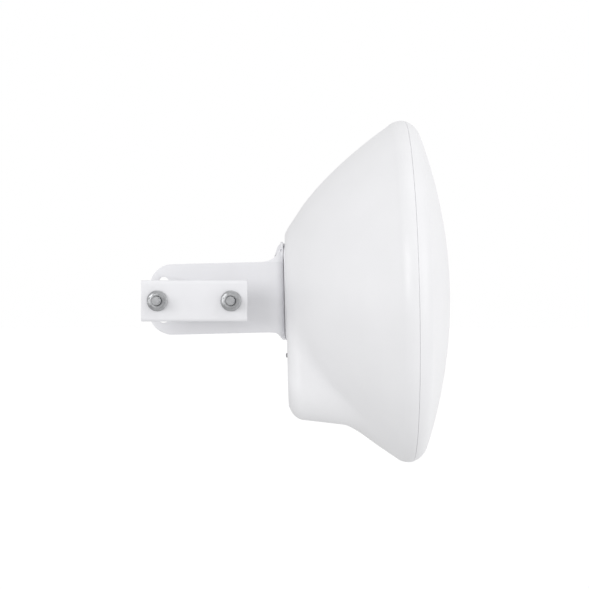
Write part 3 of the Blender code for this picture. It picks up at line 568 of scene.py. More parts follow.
def solder_mask():
    """Green solder mask over copper: tracks show as lighter, slightly raised lines."""
    made, tree, shader = new_material("solder_mask_laminate", IOR=1.5, Roughness=0.38)
    if tree:
        base = list(bpy.context.scene.bridge_colours.laminate)
        settings = {"feature": "DISTANCE_TO_EDGE"}
        cells = add_node(tree, "ShaderNodeTexVoronoi", settings, Vector=places(tree), Scale=per_mm(6.0))
        tracks = spread(tree, cells.outputs["Distance"], 1.0, 0.0, 0.03, 0.06)
        lighter = [min(1.0, c * 1.9 + 0.01) for c in base]
        tree.links.new(shades(tree, tracks, base, lighter), shader.inputs["Base Color"])
        relief(tree, shader, tracks, 0.035, 0.6)
    return made


def moulded_black():
    """Glass-filled black plastic: matt, with a fine mottle where fibres reach the surface."""
    made, tree, shader = new_material("moulded_black_plastic", IOR=1.5, Roughness=0.55)
    if tree:
        base = list(bpy.context.scene.bridge_colours.dark_plastic)
        mottle = spread(tree, noise(tree, 0.8, 4.0, 0.7), 0.0, 1.0)
        lighter = [c + 0.012 for c in base]
        tree.links.new(shades(tree, mottle, base, lighter), shader.inputs["Base Color"])
        relief(tree, shader, noise(tree, 0.5, 2.0), 0.015, 0.5)
    return made


def turned_brass():
    """Brass bar, turned and knurled, a little tarnished."""
    made, tree, shader = new_material("turned_brass", Metallic=1.0, Roughness=0.3)
    if tree:
        base = list(bpy.context.scene.bridge_colours.brass)
        tarnish = spread(tree, noise(tree, 2.0, 4.0), 0.0, 1.0)
        tree.links.new(shades(tree, tarnish, darker(base, 0.6), base), shader.inputs["Base Color"])
        tree.links.new(spread(tree, noise(tree, 1.0, 3.0), 0.22, 0.42), shader.inputs["Roughness"])
    return made


def cast_resin():
    """Machined cross-linked polystyrene: milky, waxy, with faint tool rings."""
    made, tree, shader = new_material("machined_polystyrene", IOR=1.59, Roughness=0.32)
    if tree:
        base = list(bpy.context.scene.bridge_colours.resin)
        cloud = spread(tree, noise(tree, 8.0, 3.0), 0.0, 1.0)
        tree.links.new(shades(tree, cloud, darker(base, 0.93), base), shader.inputs["Base Color"])
        relief(tree, shader, noise(tree, 1.2, 2.0), 0.01, 0.4)
    return made


def clear_polycarbonate():
    """Clear polycarbonate light pipe: glossy, with a frosted end."""
    made, tree, shader = new_material(
        "clear_polycarbonate",
        IOR=1.58,
        Roughness=0.12,
        Transmission_Weight=0.75,
        Base_Color=(*bpy.context.scene.bridge_colours.light_pipe, 1.0),
    )
    if tree:
        frost = spread(tree, noise(tree, 0.6, 3.0), 0.08, 0.3)
        tree.links.new(frost, shader.inputs["Roughness"])
    return made


# ---- the dish body's outer shape ----------------------------------------------------------
BOWL_FOUR_F = 260.0
BOWL_VERTEX = -158.4
RIM_FRONT = -4.0
BOWL_START = -17.3
REAR_ROUNDING = 22.0
BULGE_DRAFT = 0.137
SIDE_DRAFT = 0.05
BULGE_CORNER = 36.0
BULGE_TOP = -12.0
BULGE_BLEND = 14.0
GAP = 0.3
SEAM_GAP = 0.12


def bowl_radius(x):
    return math.sqrt(BOWL_FOUR_F * (x - BOWL_VERTEX))


def bulge_radius(x, angle):
    """From the boresight to the bulge's wall: a round top, drafted sides and a flat, sloping floor."""
    behind = x + in_mm(sizes().body_depth)
    half = in_mm(sizes().bulge_half_width) + SIDE_DRAFT * behind
    floor = -in_mm(sizes().bulge_floor) - BULGE_DRAFT * behind
    across, up = abs(math.cos(angle)), math.sin(angle)
    top = up * BULGE_TOP
    over_top = top + math.sqrt(top * top - BULGE_TOP**2 + half * half)
    if over_top * up >= BULGE_TOP:
        return over_top
    centre = Vector((half - BULGE_CORNER, floor + BULGE_CORNER))
    side = half / across if across > 1e-9 else math.inf
    if side * up >= centre.y:
        return side
    flat = floor / up
    if flat * across <= centre.x:
        return flat
    along = centre.dot((across, up))
    return along + math.sqrt(along * along - centre.length_squared + BULGE_CORNER**2)


def body_radius(x, angle):
    """The bowl and the bulge, melted into each other."""
    bowl, bulge = bowl_radius(x), bulge_radius(x, angle)
    share = max(BULGE_BLEND - abs(bowl - bulge), 0.0) / BULGE_BLEND
    return max(bowl, bulge) + share * share * BULGE_BLEND / 4


def back_edge(angle):
    """Depth and reach of the rounding round the rear face: broad below, tight above."""
    low = 0.5 - 0.5 * max(-1.0, min(1.0, 1.6 * math.sin(angle)))
    return 4.0 + 12.0 * low, 4.0 + 16.0 * low


def back_ring(share, wall, count):
    """A ring on the rounded rear edge, from share 0 on the side to 1 on the rear face."""
    turn = share * QUARTER
    back = -in_mm(sizes().body_depth)
    points = []
    for i in range(count):
        angle = math.tau * i / count
        depth, reach = back_edge(angle)
        x = back + depth * (1 - math.sin(turn))
        radius = body_radius(x, angle) - reach * (1 - math.cos(turn))
        x += wall * math.sin(turn)
        radius -= wall * math.cos(turn)
        points.append(Vector((x, radius * math.cos(angle), radius * math.sin(angle))))
    return points


def body_ring(x, wall, count):
    return polar_ring(x, lambda angle: body_radius(x, angle) - wall, count)


def rim_profile(start, end, steps, wall=0.0):
    """(x, radius) on the rim's roundover between two turns from the radial direction."""
    fillet = in_mm(sizes().rim_round)
    centre = in_mm(sizes().rim_radius) - fillet
    reach = fillet - wall
    turns = [start + (end - start) * i / steps for i in range(steps + 1)]
    return [(RIM_FRONT + reach * math.sin(a), centre + reach * math.cos(a)) for a in turns]


def rim_turn(x):
    """The roundover's turn from the radial direction at a plane."""
    return math.asin((x - RIM_FRONT) / in_mm(sizes().rim_round))


def evenly(start, end, steps):
    return [start + (end - start) * i / steps for i in range(steps + 1)]


# ---- what sits on the rear face -----------------------------------------------------------
SCREW_HALF_Y, SCREW_HALF_Z, PATTERN_RISE = 31.0, 36.0, 4.4
PAD_HEIGHT = 1.7
PAD_HALF, PAD_LOW, PAD_HIGH = 40.0, -52.0, 53.5
PAD_CROWN_RADIUS, PAD_CROWN_Z = 28.0, 31.0
DOOR_HALF_Y, DOOR_LOW, DOOR_HIGH = 40.7, -123.7, -61.3
DOOR_SWING_GAP = 0.9
HINGE_X, HINGE_Z = -137.9, -127.5
BAY_HALF_Y, BAY_LOW, BAY_HIGH, BAY_FLOOR_X = 37.0, -120.0, -65.0, -108.0
DOOR_SCREW_Z = -70.4
PIPE_Y, PIPE_HEIGHTS = -53.0, (-26.0, -34.0, -42.0)
VENT_Y, VENT_Z = 53.0, -38.0
GROMMET_X, GROMMET_RADIUS, CABLE_BORE = -119.0, 8.0, 3.4
BUTTON_X, BUTTON_Y = -126.0, -18.0
BOARD_BACK, BOARD_FRONT = -120.8, -119.2
ALONG_Y = Matrix.Rotation(QUARTER, 4, "Z")
UPRIGHT = Matrix.Rotation(-QUARTER, 4, "Y")


def insert_places():
    heights = (PATTERN_RISE - SCREW_HALF_Z, PATTERN_RISE + SCREW_HALF_Z)
    return [(y, z) for y in (-SCREW_HALF_Y, SCREW_HALF_Y) for z in heights]


def board_screw_places():
    return [(y, z) for y in (-50.0, 50.0) for z in (-50.0, 43.0)]


def reflector_screw_places():
    turns = [math.radians(45 + 90 * i) for i in range(4)]
    return [(179 * math.cos(a), 179 * math.sin(a)) for a in turns]


def flared_hole(radius, mouth, bottom, flare=0.5, count=40):
    """A cutter along X for a round hole with a chamfered mouth. The mouth faces -X."""
    return turned(
        [(mouth - 6, radius + flare + 6), (mouth + flare, radius), (bottom, radius)], count
    )


def rear_shell_cuts(back):
    cuts = []
    door = rounded(
        (-DOOR_HALF_Y - GAP, DOOR_LOW - DOOR_SWING_GAP), (DOOR_HALF_Y + GAP, DOOR_HIGH + GAP), 5.0
    )
    flare = 0.5
    rings = []
    for x, grow in ((back - 2, flare + 2), (back + flare, 0.0), (back + 10, 0.0)):
        rings.append([Vector((x, *point)) for point in inset(door, -grow)])
    cuts.append(lofted(rings))
    for side in (-1, 1):
        near, far = sorted((side * 13.5, side * 26.5))
        cuts.append(slab((back - 3, near, -130.3), (back + 5.2, far, -123.0), 0.4, 1.0, "Y"))
    cuts.append(moved(turned([(-32, 1.3), (32, 1.3)], 24), at(HINGE_X, 0, HINGE_Z) @ ALONG_Y))
    for z in PIPE_HEIGHTS:
        cuts.append(moved(flared_hole(1.8, back, -130), at(0, PIPE_Y, z)))
    seat = [(back - 6, 13), (back + 0.6, 6.5), (back + 2.4, 6.5), (back + 2.4, 3.3), (-130, 3.3)]
    cuts.append(moved(turned(seat), at(0, VENT_Y, VENT_Z)))
    hole = turned([(-24, GROMMET_RADIUS + GAP), (24, GROMMET_RADIUS + GAP)])
    cuts.append(moved(hole, at(GROMMET_X, 0, -140) @ UPRIGHT))
    pad_face = back - PAD_HEIGHT
    for y, z in insert_places():
        cuts.append(moved(flared_hole(4.5, pad_face, -132.6), at(0, y, z)))
    for y, z in board_screw_places():
        cuts.append(moved(turned([(-130, 1.8), (-118, 1.8)], 24), at(0, y, z)))
    for y, z in reflector_screw_places():
        cuts.append(moved(turned([(-28, 1.8), (-17, 1.8)], 24), at(0, y, z)))
    return cuts


def rear_shell_additions(back):
    outline = rounded((-PAD_HALF, PAD_LOW), (PAD_HALF, PAD_HIGH), 10.0)
    soft_edge = ((back + 2, 0.0), (back - 1.0, 0.0), (back - 1.5, 0.25), (back - PAD_HEIGHT, 0.8))
    rings = [[Vector((x, *point)) for point in inset(outline, shrink)] for x, shrink in soft_edge]
    crown = turned([(x + 0.005, PAD_CROWN_RADIUS - shrink) for x, shrink in soft_edge], 96)
    pads = [lofted(rings), moved(crown, at(0, 0, PAD_CROWN_Z))]
    for y, z in insert_places():
        pads.append(moved(turned([(back + 2, 7), (-131.6, 7), (-131, 6.4)]), at(0, y, z)))
    for y, z in board_screw_places():
        pads.append(moved(turned([(back + 2, 4.4), (BOARD_BACK - GAP, 4.0)], 32), at(0, y, z)))
    for y, z in reflector_screw_places():
        pads.append(moved(turned([(-29, 4), (-24.2, 4)], 32), at(0, y, z)))
    return pads


class BRIDGE_OT_rear_shell(bpy.types.Operator):
    """Builds the moulded rear shell: bowl, electronics bulge, bracket pad and openings"""

    bl_idname = "bridge.rear_shell"
    bl_label = "Rear shell"

    def execute(self, context):
        count = sizes().around
        back = -in_mm(sizes().body_depth)
        wall, soft = in_mm(sizes().shell_wall), in_mm(sizes().seam_chamfer)
        seam_turn = rim_turn(-soft)
        bowl_turn = rim_turn(BOWL_START)
        rounding_start = back + REAR_ROUNDING
        outer = [polar_ring(x, r, count) for x, r in rim_profile(seam_turn, bowl_turn, 14)]
        outer += [body_ring(x, 0.0, count) for x in evenly(-20, rounding_start, 52)]
        outer += [back_ring(share, 0.0, count) for share in evenly(0.0, 1.0, 14)]
        seam_radius = rim_profile(rim_turn(0.0), 0.0, 1)[0][1]
        soft_edge = ((0.0, seam_radius - soft), (-0.25 * soft, seam_radius - 0.3 * soft))
        lip = [polar_ring(x, r, count) for x, r in soft_edge]
        inner_rim = 191.5
        inner_edge = ((0.0, inner_rim + 0.3), (-0.3, inner_rim), (-13, inner_rim - 0.6))
        inner = [polar_ring(x, r, count) for x, r in inner_edge]
        inner += [body_ring(x, wall, count) for x in evenly(-24, rounding_start, 20)]
        inner += [back_ring(share, 4.0, count) for share in evenly(0.1, 1.0, 6)]
        rings = list(reversed(outer)) + list(reversed(lip)) + inner
        piece(
            "rear_shell",
            lofted(rings),
            moulded_asa(),
            "head",
            ["rear_housing"],
            add=rear_shell_additions(back),
            cut=rear_shell_cuts(back),
            sharp=28,
        )
        return {"FINISHED"}


class BRIDGE_OT_radome(bpy.types.Operator):
    """Builds the domed front radome with its locating spigot"""

    bl_idname = "bridge.radome"
    bl_label = "Radome"

    def execute(self, context):
        count = sizes().around
        apex, dome = in_mm(sizes().apex), in_mm(sizes().dome_radius)
        fillet, soft = in_mm(sizes().rim_round), in_mm(sizes().seam_chamfer)
        rim_centre = in_mm(sizes().rim_radius) - fillet
        limit = math.asin(rim_centre / (dome - fillet))
        middle = apex - dome
        fillet_x = middle + (dome - fillet) * math.cos(limit)
        dome_points = [(middle + dome * math.cos(a), dome * math.sin(a)) for a in evenly(0.0, limit, 36)]
        last = QUARTER - math.asin((SEAM_GAP + soft - fillet_x) / fillet)
        turns = evenly(limit, last, 14)[1:]
        edge = [(fillet_x + fillet * math.cos(a), rim_centre + fillet * math.sin(a)) for a in turns]
        seam_radius = edge[-1][1]
        lip = [(SEAM_GAP + 0.3 * soft, seam_radius - 0.25 * soft), (SEAM_GAP, seam_radius - soft)]
        wall = 2.5
        inside = dome - wall
        inner_dome = [(middle + inside * math.cos(a), inside * math.sin(a)) for a in evenly(0.0, limit, 18)]
        spigot_end, spigot_outer, spigot_inner = -7.0, 189.0, 186.5
        end_edge = spigot_end + 0.4
        spigot = [(SEAM_GAP, spigot_outer), (end_edge, spigot_outer), (spigot_end, spigot_outer - 0.4)]
        spigot += [(spigot_end, spigot_inner + 0.4), (end_edge, spigot_inner), (10.5, spigot_inner)]
        profile = dome_points + edge + lip + spigot + inner_dome[::-1]
        piece("radome_shell", turned(profile, count), moulded_asa(), "head", ["front_radome"])
        return {"FINISHED"}


# ---- reflector, feed and seal -------------------------------------------------------------
REFLECTOR_VERTEX, REFLECTOR_FOUR_F, REFLECTOR_EDGE = -108.0, 360.0, 174.0


def screw_head(radius, height, shank, depth, recess=True):
    """A low round-headed screw along X, head on the +X side of x = 0, with a cross recess cutter."""
    turns = evenly(0, QUARTER, 8)
    top = [(height * (0.35 + 0.65 * math.sin(a)), radius * (0.45 + 0.55 * math.cos(a))) for a in turns]
    profile = [(-depth, shank * 0.6), (-depth + 0.8, shank), (0.0, shank), (0.0, radius)] + top
    arm, half = radius * 0.55, radius * 0.13
    cross = [
        slab((height * 0.45, -arm, -half), (height * 1.5, arm, half), 0.05, half * 0.5, "X"),
        slab((height * 0.45, -half, -arm), (height * 1.5, half, arm), 0.05, half * 0.5, "X"),
    ]
    return turned(profile, 32), cross if recess else []


class BRIDGE_OT_reflector(bpy.types.Operator):
    """Builds the spun reflector, its screws and the rim seal"""

    bl_idname = "bridge.reflector"
    bl_label = "Reflector"

    def execute(self, context):
        thick = 1.2
        radii = evenly(9.5, REFLECTOR_EDGE, 34)
        face = [(REFLECTOR_VERTEX + r * r / REFLECTOR_FOUR_F + thick, r) for r in radii]
        rim_x = face[-1][0]
        face += [(rim_x, 182.2), (rim_x - 0.4, 182.6)]
        back = [(x - thick, r) for x, r in face[:-2]][::-1]
        section = face + [(rim_x - thick + 0.3, 182.6), (rim_x - thick, 182.2)] + back
        holes = [moved(turned([(-32, 1.8), (0, 1.8)], 24), at(0, y, z)) for y, z in reflector_screw_places()]
        finish = spun_aluminium()
        bowl = turned_ring(section, 192)
        piece("dish_reflector", bowl, finish, "head", ["reflector"], cut=holes)
        for i, (y, z) in enumerate(reflector_screw_places(), 1):
            shape, cross = screw_head(2.7, 1.7, 1.4, 5.0)
            place = DISH_FRAME @ at(rim_x + GAP, y, z)
            name, node = f"reflector_pan_screw_{i}", f"reflector_screw_{i}"
            piece(name, shape, zinc_plate(), "head", [node], place, cut=cross)
        low, high = 189.3, 191.0
        ribs = []
        for i in range(5):
            ribs += [(-6 + i, high - 0.35), (-5.5 + i, high)]
        seal = [(-6, low + 0.2), (-5.8, low), (-1.2, low), (-1, low + 0.2), (-1, high - 0.35)] + ribs[::-1]
        piece("rim_seal", turned_ring(seal, 192), moulded_rubber(), "head", ["rim_gasket"])
        return {"FINISHED"}


class BRIDGE_OT_feed(bpy.types.Operator):
    """Builds the feed: adapter, waveguide tube, dielectric cone and subreflector"""

    bl_idname = "bridge.feed"
    bl_label = "Feed"

    def execute(self, context):
        metal = spun_aluminium()
        foot = BOARD_FRONT + GAP
        adapter = [(foot, 13.6), (foot + 0.4, 14), (-115.5, 14), (-115, 13.5)]
        adapter += [(-115, 9.4), (-111.4, 9), (-111, 8.6)]
        holes = []
        for i in range(4):
            angle = QUARTER * (i + 0.5)
            spot = at(0, 11.4 * math.cos(angle), 11.4 * math.sin(angle))
            holes.append(moved(turned([(-118, 1.1), (-110, 1.1)], 20), spot))
        flange = turned(adapter, 64)
        piece("waveguide_flange", flange, metal, "head", ["waveguide_adapter"], cut=holes)
        tube = [(-110.7, 2.5), (-110.4, 2.2), (-54.3, 2.2), (-54, 2.5)]
        tube += [(-54, 6.2), (-54.3, 6.5), (-110.4, 6.5), (-110.7, 6.2)]
        piece("feed_pipe", turned_ring(tube, 48), metal, "head", ["feed_tube"])
        cone = [(-53.7, 0.0), (-53.7, 6.2), (-53.4, 6.5), (-50, 6.8)]
        for i in range(5):
            share = i / 4
            x, r = -49.5 + 9.5 * share, 8.0 + 8.0 * share * share
            cone += [(x, r), (x + 0.2, r + 0.9), (x + 1.1, r + 1.1), (x + 1.3, r + 0.3)]
        cone += [(-37.0, 20.0), (-36.6, 20.5), (-36.3, 20.5), (-36.3, 0.0)]
        ribbed = turned(cone, 72)
        piece("feed_cone", ribbed, cast_resin(), "head", ["dielectric_cone"], sharp=40)
        hat = [(-36, 0.0), (-36, 20.6), (-35.6, 21.2), (-33.4, 21.5), (-32.6, 20.8)]
        hat += [(-32, 19), (-32.6, 12), (-33.2, 8), (-33.2, 0.0)]
        piece("feed_splash_plate", turned(hat, 72), metal, "head", ["subreflector"])
        return {"FINISHED"}


# ---- electronics --------------------------------------------------------------------------
class BRIDGE_OT_electronics(bpy.types.Operator):
    """Builds the radio board with its chips, shield, heat sink, jack, switch and light pipes"""

    bl_idname = "bridge.electronics"
    bl_label = "Electronics"

    def execute(self, context):
        holes = [circle((y, z), 1.8, 24) for y, z in board_screw_places()]
        outline = rounded((-56, -58), (56, 50), 3.0, 6)
        sheet = moved(standing(plate(outline, holes, 1.6, 0.1, 1), "X"), at(BOARD_BACK, 0, 0))
        piece("printed_board", sheet, solder_mask(), "head", ["radio_board"])
        for i, (y, z) in enumerate(board_screw_places(), 1):
            shape, cross = screw_head(2.8, 1.7, 1.4, 8.0)
            place = DISH_FRAME @ at(BOARD_FRONT + GAP, y, z)
            name, node = f"board_pan_screw_{i}", f"board_screw_{i}"
            piece(name, shape, zinc_plate(), "head", [node], place, cut=cross)
        self.chips()
        self.shield()
        self.heat_sink()
        self.jack_and_switch()
        for i, z in enumerate(PIPE_HEIGHTS, 1):
            end = -in_mm(sizes().body_depth) + GAP
            dome = [(end + 0.6 * (1 - math.cos(a)), 1.5 * math.sin(a)) for a in evenly(0.0, QUARTER, 6)]
            pipe = turned(dome + [(-122.4, 1.5), (-122, 1.2)], 32)
            name, node = f"status_light_pipe_{i}", f"led_light_pipe_{i}"
            place = DISH_FRAME @ at(0, PIPE_Y, z)
            piece(name, pipe, clear_polycarbonate(), "head", [node], place)
        return {"FINISHED"}

    def chips(self):
        black = moulded_black()
        foot = BOARD_BACK - GAP
        package = slab((-122.6, -12, -8), (foot, 12, 16), 0.2, 0.8, "X")
        piece("modem_package", package, black, "head", ["modem_chip"])
        pad = slab((-123.9, -14, -10), (-122.9, 14, 18), 0.2, 0.8, "X")
        piece("gap_pad", pad, moulded_rubber(), "head", ["thermal_pad"])
        coil = slab((-128, 30, -44), (foot - 0.6, 42, -28), 0.3, 0.6, "X")
        legs = []
        for i in range(6):
            z = -42.5 + 2.6 * i
            legs.append(slab((foot - 1.2, 29.2, z), (foot, 42.8, z + 0.8), 0.1, 0.2, "Y"))
        piece("transformer_package", joined(coil, *legs), black, "head", ["lan_transformer"])

    def shield(self):
        foot, top = BOARD_FRONT + GAP, -113.5
        vents = []
        for row in range(9):
            for column in range(3):
                y, z = -41 + 9.5 * column, -29 + 7.25 * row
                vents.append(moved(turned([(top - 1.2, 1.2), (top + 1, 1.2)], 16), at(0, y, z)))
        can = slab((foot, -46, -34), (top, -17, 34), 0.5, 1.2, "X")
        finish = zinc_plate()
        piece("shield_cover", can, finish, "head", ["shield_can"], cut=[joined(*vents)])

    def heat_sink(self):
        half, fin, root, tip, front = 22.5, 1.6, -126.8, -134.0, -124.2
        count = 9
        centres = [half - fin / 2 - i * (2 * half - fin) / (count - 1) for i in range(count)]
        outline = [(front, -half), (front, half)]
        for i, centre in enumerate(centres):
            outline += [(tip + 0.2, centre + fin * 0.42), (tip, centre), (tip + 0.2, centre - fin * 0.42)]
            if i < count - 1:
                outline += [(root, centre - fin / 2), (root, centres[i + 1] + fin / 2)]
        shape = moved(plate(outline, (), 84.0, 0.25, 1), at(0, 0, -38))
        piece("finned_heat_sink", shape, spun_aluminium(), "head", ["heat_sink"])

    def jack_and_switch(self):
        shell = slab((-134.6, 10, -71), (BOARD_BACK - GAP, 26, -48), 0.3, 0.6, "Z")
        mouth = [
            slab((-132.6, 12, -75), (-125.2, 24, -56), 0.1, 0.3, "Z"),
            slab((-126.0, 15, -75), (-123.6, 21, -58), 0.1, 0.3, "Z"),
        ]
        finish = zinc_plate()
        piece("network_jack", shell, finish, "head", ["ethernet_jack"], cut=mouth)
        contacts = []
        for i in range(8):
            y = 14.3 + 1.05 * i
            contacts.append(slab((-132.3, y, -69), (-131.8, y + 0.5, -56.3), 0.1, 0.2, "Y"))
        piece("jack_contacts", joined(*contacts), turned_brass(), "head")
        body = slab((-127.5, -21, -55.5), (BOARD_BACK - GAP, -15, -51), 0.2, 0.4, "X")
        actuator = turned([(-57.0, 1.0), (-56.8, 1.2), (-55.4, 1.2)], 24)
        actuator = moved(actuator, at(BUTTON_X + 1.6, BUTTON_Y, 0) @ UPRIGHT)
        switch = joined(body, actuator)
        piece("tact_switch", switch, moulded_black(), "head", ["reset_switch"])


# ---- port bay, door, button, grommet and vent ---------------------------------------------
class BRIDGE_OT_port_bay(bpy.types.Operator):
    """Builds the port bay with its gasket, grommet, vent and reset button"""

    bl_idname = "bridge.port_bay"
    bl_label = "Port bay"

    def execute(self, context):
        back = -in_mm(sizes().body_depth)
        face = back + 4.0 + GAP
        wall = 2.0
        rim = rounded((-46, -124.6), (46, -56), 6.0)
        flange = moved(standing(plate(rim, (), 2.0, 0.3, 2), "X"), at(face, 0, 0))
        low, high = (-BAY_HALF_Y - wall, BAY_LOW - wall), (BAY_HALF_Y + wall, BAY_HIGH + wall)
        tub = plate(rounded(low, high, 5.0), (), BAY_FLOOR_X + wall - face - 1.0, 1.0, 3)
        tub = moved(standing(tub, "X"), at(face + 1.0, 0, 0))
        space = rounded((-BAY_HALF_Y, BAY_LOW), (BAY_HALF_Y, BAY_HIGH), 3.0)
        depths = ((face - 5, 0.0), (BAY_FLOOR_X - 1.5, 0.0), (BAY_FLOOR_X - 0.45, 0.45), (BAY_FLOOR_X, 1.5))
        rings = [[Vector((x, *point)) for point in inset(space, shrink)] for x, shrink in depths]
        post = slab((face, -5.5, -76), (-124, 5.5, BAY_HIGH + 1), 0.4, 1.2, "X")
        button_bore = turned([(BAY_HIGH - 6, 2.8), (BAY_HIGH + 6, 2.8)], 32)
        cut = [
            moved(turned([(face - 4, 2.0), (-128, 2.0)], 28), at(0, 0, DOOR_SCREW_Z)),
            slab((-137, 9.6, -70), (-120.7, 26.4, -55), 0.05, 0.5, "Z"),
            moved(button_bore, at(BUTTON_X, BUTTON_Y, 0) @ UPRIGHT),
            moved(turned([(BAY_LOW - 6, 8.3), (BAY_LOW + 6, 8.3)], 40), at(GROMMET_X, 0, 0) @ UPRIGHT),
        ]
        finish = moulded_asa()
        mesh = carved(carved(mesh_of("bay", flange), add=[tub], cut=[lofted(rings)]), add=[post], cut=cut)
        shape = [v.co.copy() for v in mesh.vertices], [tuple(f.vertices) for f in mesh.polygons]
        piece("port_bay_tub", shape, finish, "head", ["port_bay"])
        seal_outer = rounded((-DOOR_HALF_Y + 0.2, DOOR_LOW), (DOOR_HALF_Y - 0.2, DOOR_HIGH), 4.5)
        seal_inner = rounded((-BAY_HALF_Y - 0.6, BAY_LOW - 0.6), (BAY_HALF_Y + 0.6, BAY_HIGH + 0.6), 3.0)
        seal = moved(standing(plate(seal_outer, [seal_inner], 1.6, 0.6, 4), "X"), at(-137.6, 0, 0))
        piece("door_seal", seal, moulded_rubber(), "head", ["bay_gasket"])
        self.grommet()
        self.vent(back)
        self.button()
        pin = turned([(-31.5, 0.7), (-31.2, 1.0), (31.2, 1.0), (31.5, 0.7)], 24)
        pin = moved(pin, at(HINGE_X, 0, HINGE_Z) @ ALONG_Y)
        piece("door_hinge_rod", pin, zinc_plate(), "head", ["hinge_pin"])
        return {"FINISHED"}

    def grommet(self):
        """A stepped rubber bung, its throat closed down to the cable's size."""
        top, floor = BAY_LOW + 2.5, -141.5
        reach, bore = GROMMET_RADIUS, CABLE_BORE
        collar = [(top, bore + 1.2), (top, reach + 1.4), (top - 0.6, reach + 2), (BAY_LOW + 0.8, reach + 2)]
        outside = [(BAY_LOW + GAP, reach + 1.5), (BAY_LOW + GAP, reach)]
        for i in range(4):
            z = -123.5 - 4.0 * i
            outside += [(z, reach), (z - 0.5, reach - 0.5), (z - 1.4, reach - 0.5), (z - 1.9, reach)]
        bottom = [(floor + 0.6, reach), (floor, reach - 0.6)]
        throat = [(floor, bore + 1.6), (floor + 1.6, bore), (top - 1.2, bore)]
        shape = turned_ring(collar + outside + bottom + throat, 56)
        place = DISH_FRAME @ at(GROMMET_X, 0, 0) @ UPRIGHT
        piece("rubber_cable_grommet", shape, moulded_rubber(), "head", ["cable_grommet"], place)

    def vent(self, back):
        cap = [(back + 0.4 + 0.7 * (1 - math.cos(a)), 6 * math.sin(a)) for a in evenly(0.0, QUARTER, 8)]
        cap += [(back + 2.1, 6), (back + 2.1, 3), (back + 6.5, 3)]
        slots = []
        for i in range(6):
            turn = Matrix.Rotation(math.tau * i / 6, 4, "X")
            slots.append(moved(slab((back - 1, 2.2, -0.45), (back + 1.3, 4.8, 0.45), 0.05, 0.4, "X"), turn))
        place = DISH_FRAME @ at(0, VENT_Y, VENT_Z)
        plug, black = turned(cap, 48), moulded_black()
        piece("vent_plug", plug, black, "head", ["breather_vent"], place, cut=slots)

    def button(self):
        cap = 2.5
        dome = [(-3.0 + 0.5 * (1 - math.cos(a)), cap * math.sin(a)) for a in evenly(0.0, QUARTER, 6)]
        stem = [(2.3, cap), (2.3, 3.4), (2.5, 3.6), (3.6, 3.6), (3.8, 3.4)]
        stem += [(3.8, 1.5), (6.5, 1.5), (6.7, 1.3)]
        place = DISH_FRAME @ at(BUTTON_X, BUTTON_Y, BAY_HIGH) @ UPRIGHT
        plunger, black = turned(dome + stem, 40), moulded_black()
        piece("reset_plunger", plunger, black, "button", ["reset_button"], place)


class BRIDGE_OT_port_door(bpy.types.Operator):
    """Builds the hinged port door with its ribs, knuckles and quarter-turn screw"""

    bl_idname = "bridge.port_door"
    bl_label = "Port door"

    def execute(self, context):
        place = DISH_FRAME @ at(HINGE_X, 0, HINGE_Z)
        outside = -in_mm(sizes().body_depth) - HINGE_X
        inside = outside + 2.0
        low, high = (-DOOR_HALF_Y, DOOR_LOW - HINGE_Z), (DOOR_HALF_Y, DOOR_HIGH - HINGE_Z)
        screw_z = DOOR_SCREW_Z - HINGE_Z
        hole = circle((0.0, screw_z), 1.9, 32)
        panel = moved(standing(plate(rounded(low, high, 4.7), [hole], 2.0, 0.5, 4), "X"), at(outside, 0, 0))
        add = []
        for side in (-1, 1):
            near, far = sorted((side * 14.0, side * 26.0))
            add.append(slab((outside + 0.2, near, 0.0), (inside - 0.2, far, 6.0), 0.2, 0.4, "Y"))
            barrel = turned([(near, 1.7), (near + 0.3, 2.0), (far - 0.3, 2.0), (far, 1.7)], 40)
            add.append(moved(barrel, ALONG_Y))
        grips = []
        for i in range(3):
            z = high[1] - 7.0 + 1.8 * i
            for side in (-1, 1):
                near, far = sorted((side * 8.0, side * 20.0))
                grips.append(slab((outside - 1.0, near, z), (outside + 0.45, far, z + 0.9), 0.1, 0.3, "X"))
        bore = moved(turned([(-40, 1.3), (40, 1.3)], 28), ALONG_Y)
        cut = [bore, *grips]
        piece("hinged_port_door", panel, moulded_asa(), "door", ["port_door"], place, add, cut)
        crown = ((1.9, 0.0), (1.9, 1.7), (1.75, 2.2), (1.3, 2.6), (0.5, 2.6), (GAP, 2.4), (GAP, 1.5))
        head = [(outside - up, radius) for up, radius in crown] + [(4.7, 1.5), (5.1, 1.1)]
        slot = slab((outside - 4, -0.5, -3.2), (outside - 1.1, 0.5, 3.2), 0.05, 0.1, "X")
        piece(
            "quarter_turn_screw",
            turned(head, 40),
            zinc_plate(),
            "door_lock",
            ["door_screw"],
            place @ at(0, 0, screw_z),
            cut=[slot],
        )
        return {"FINISHED"}


# ---- tilting bracket ----------------------------------------------------------------------
ARM_LOW, ARM_HIGH, ARM_END = -36.8, 42.9, 95.5
FLANGE_X, FLANGE_LOW, FLANGE_HIGH, FLANGE_WIDTH = 58.15, -45.7, 65.9, 92.0
FOLD_RADIUS = 9.0
FLARE = 0.55
BOLT_SPACING = 80.7
SLOT_LOW, SLOT_HIGH = math.radians(-12.7), math.radians(16.9)
FOLD_LENGTH = FOLD_RADIUS * QUARTER
FIRST_FOLD = FLANGE_X - FOLD_RADIUS
FLANGE_START = FIRST_FOLD + FOLD_LENGTH
SECOND_FOLD = FLANGE_START + FLANGE_WIDTH - 2 * FOLD_RADIUS


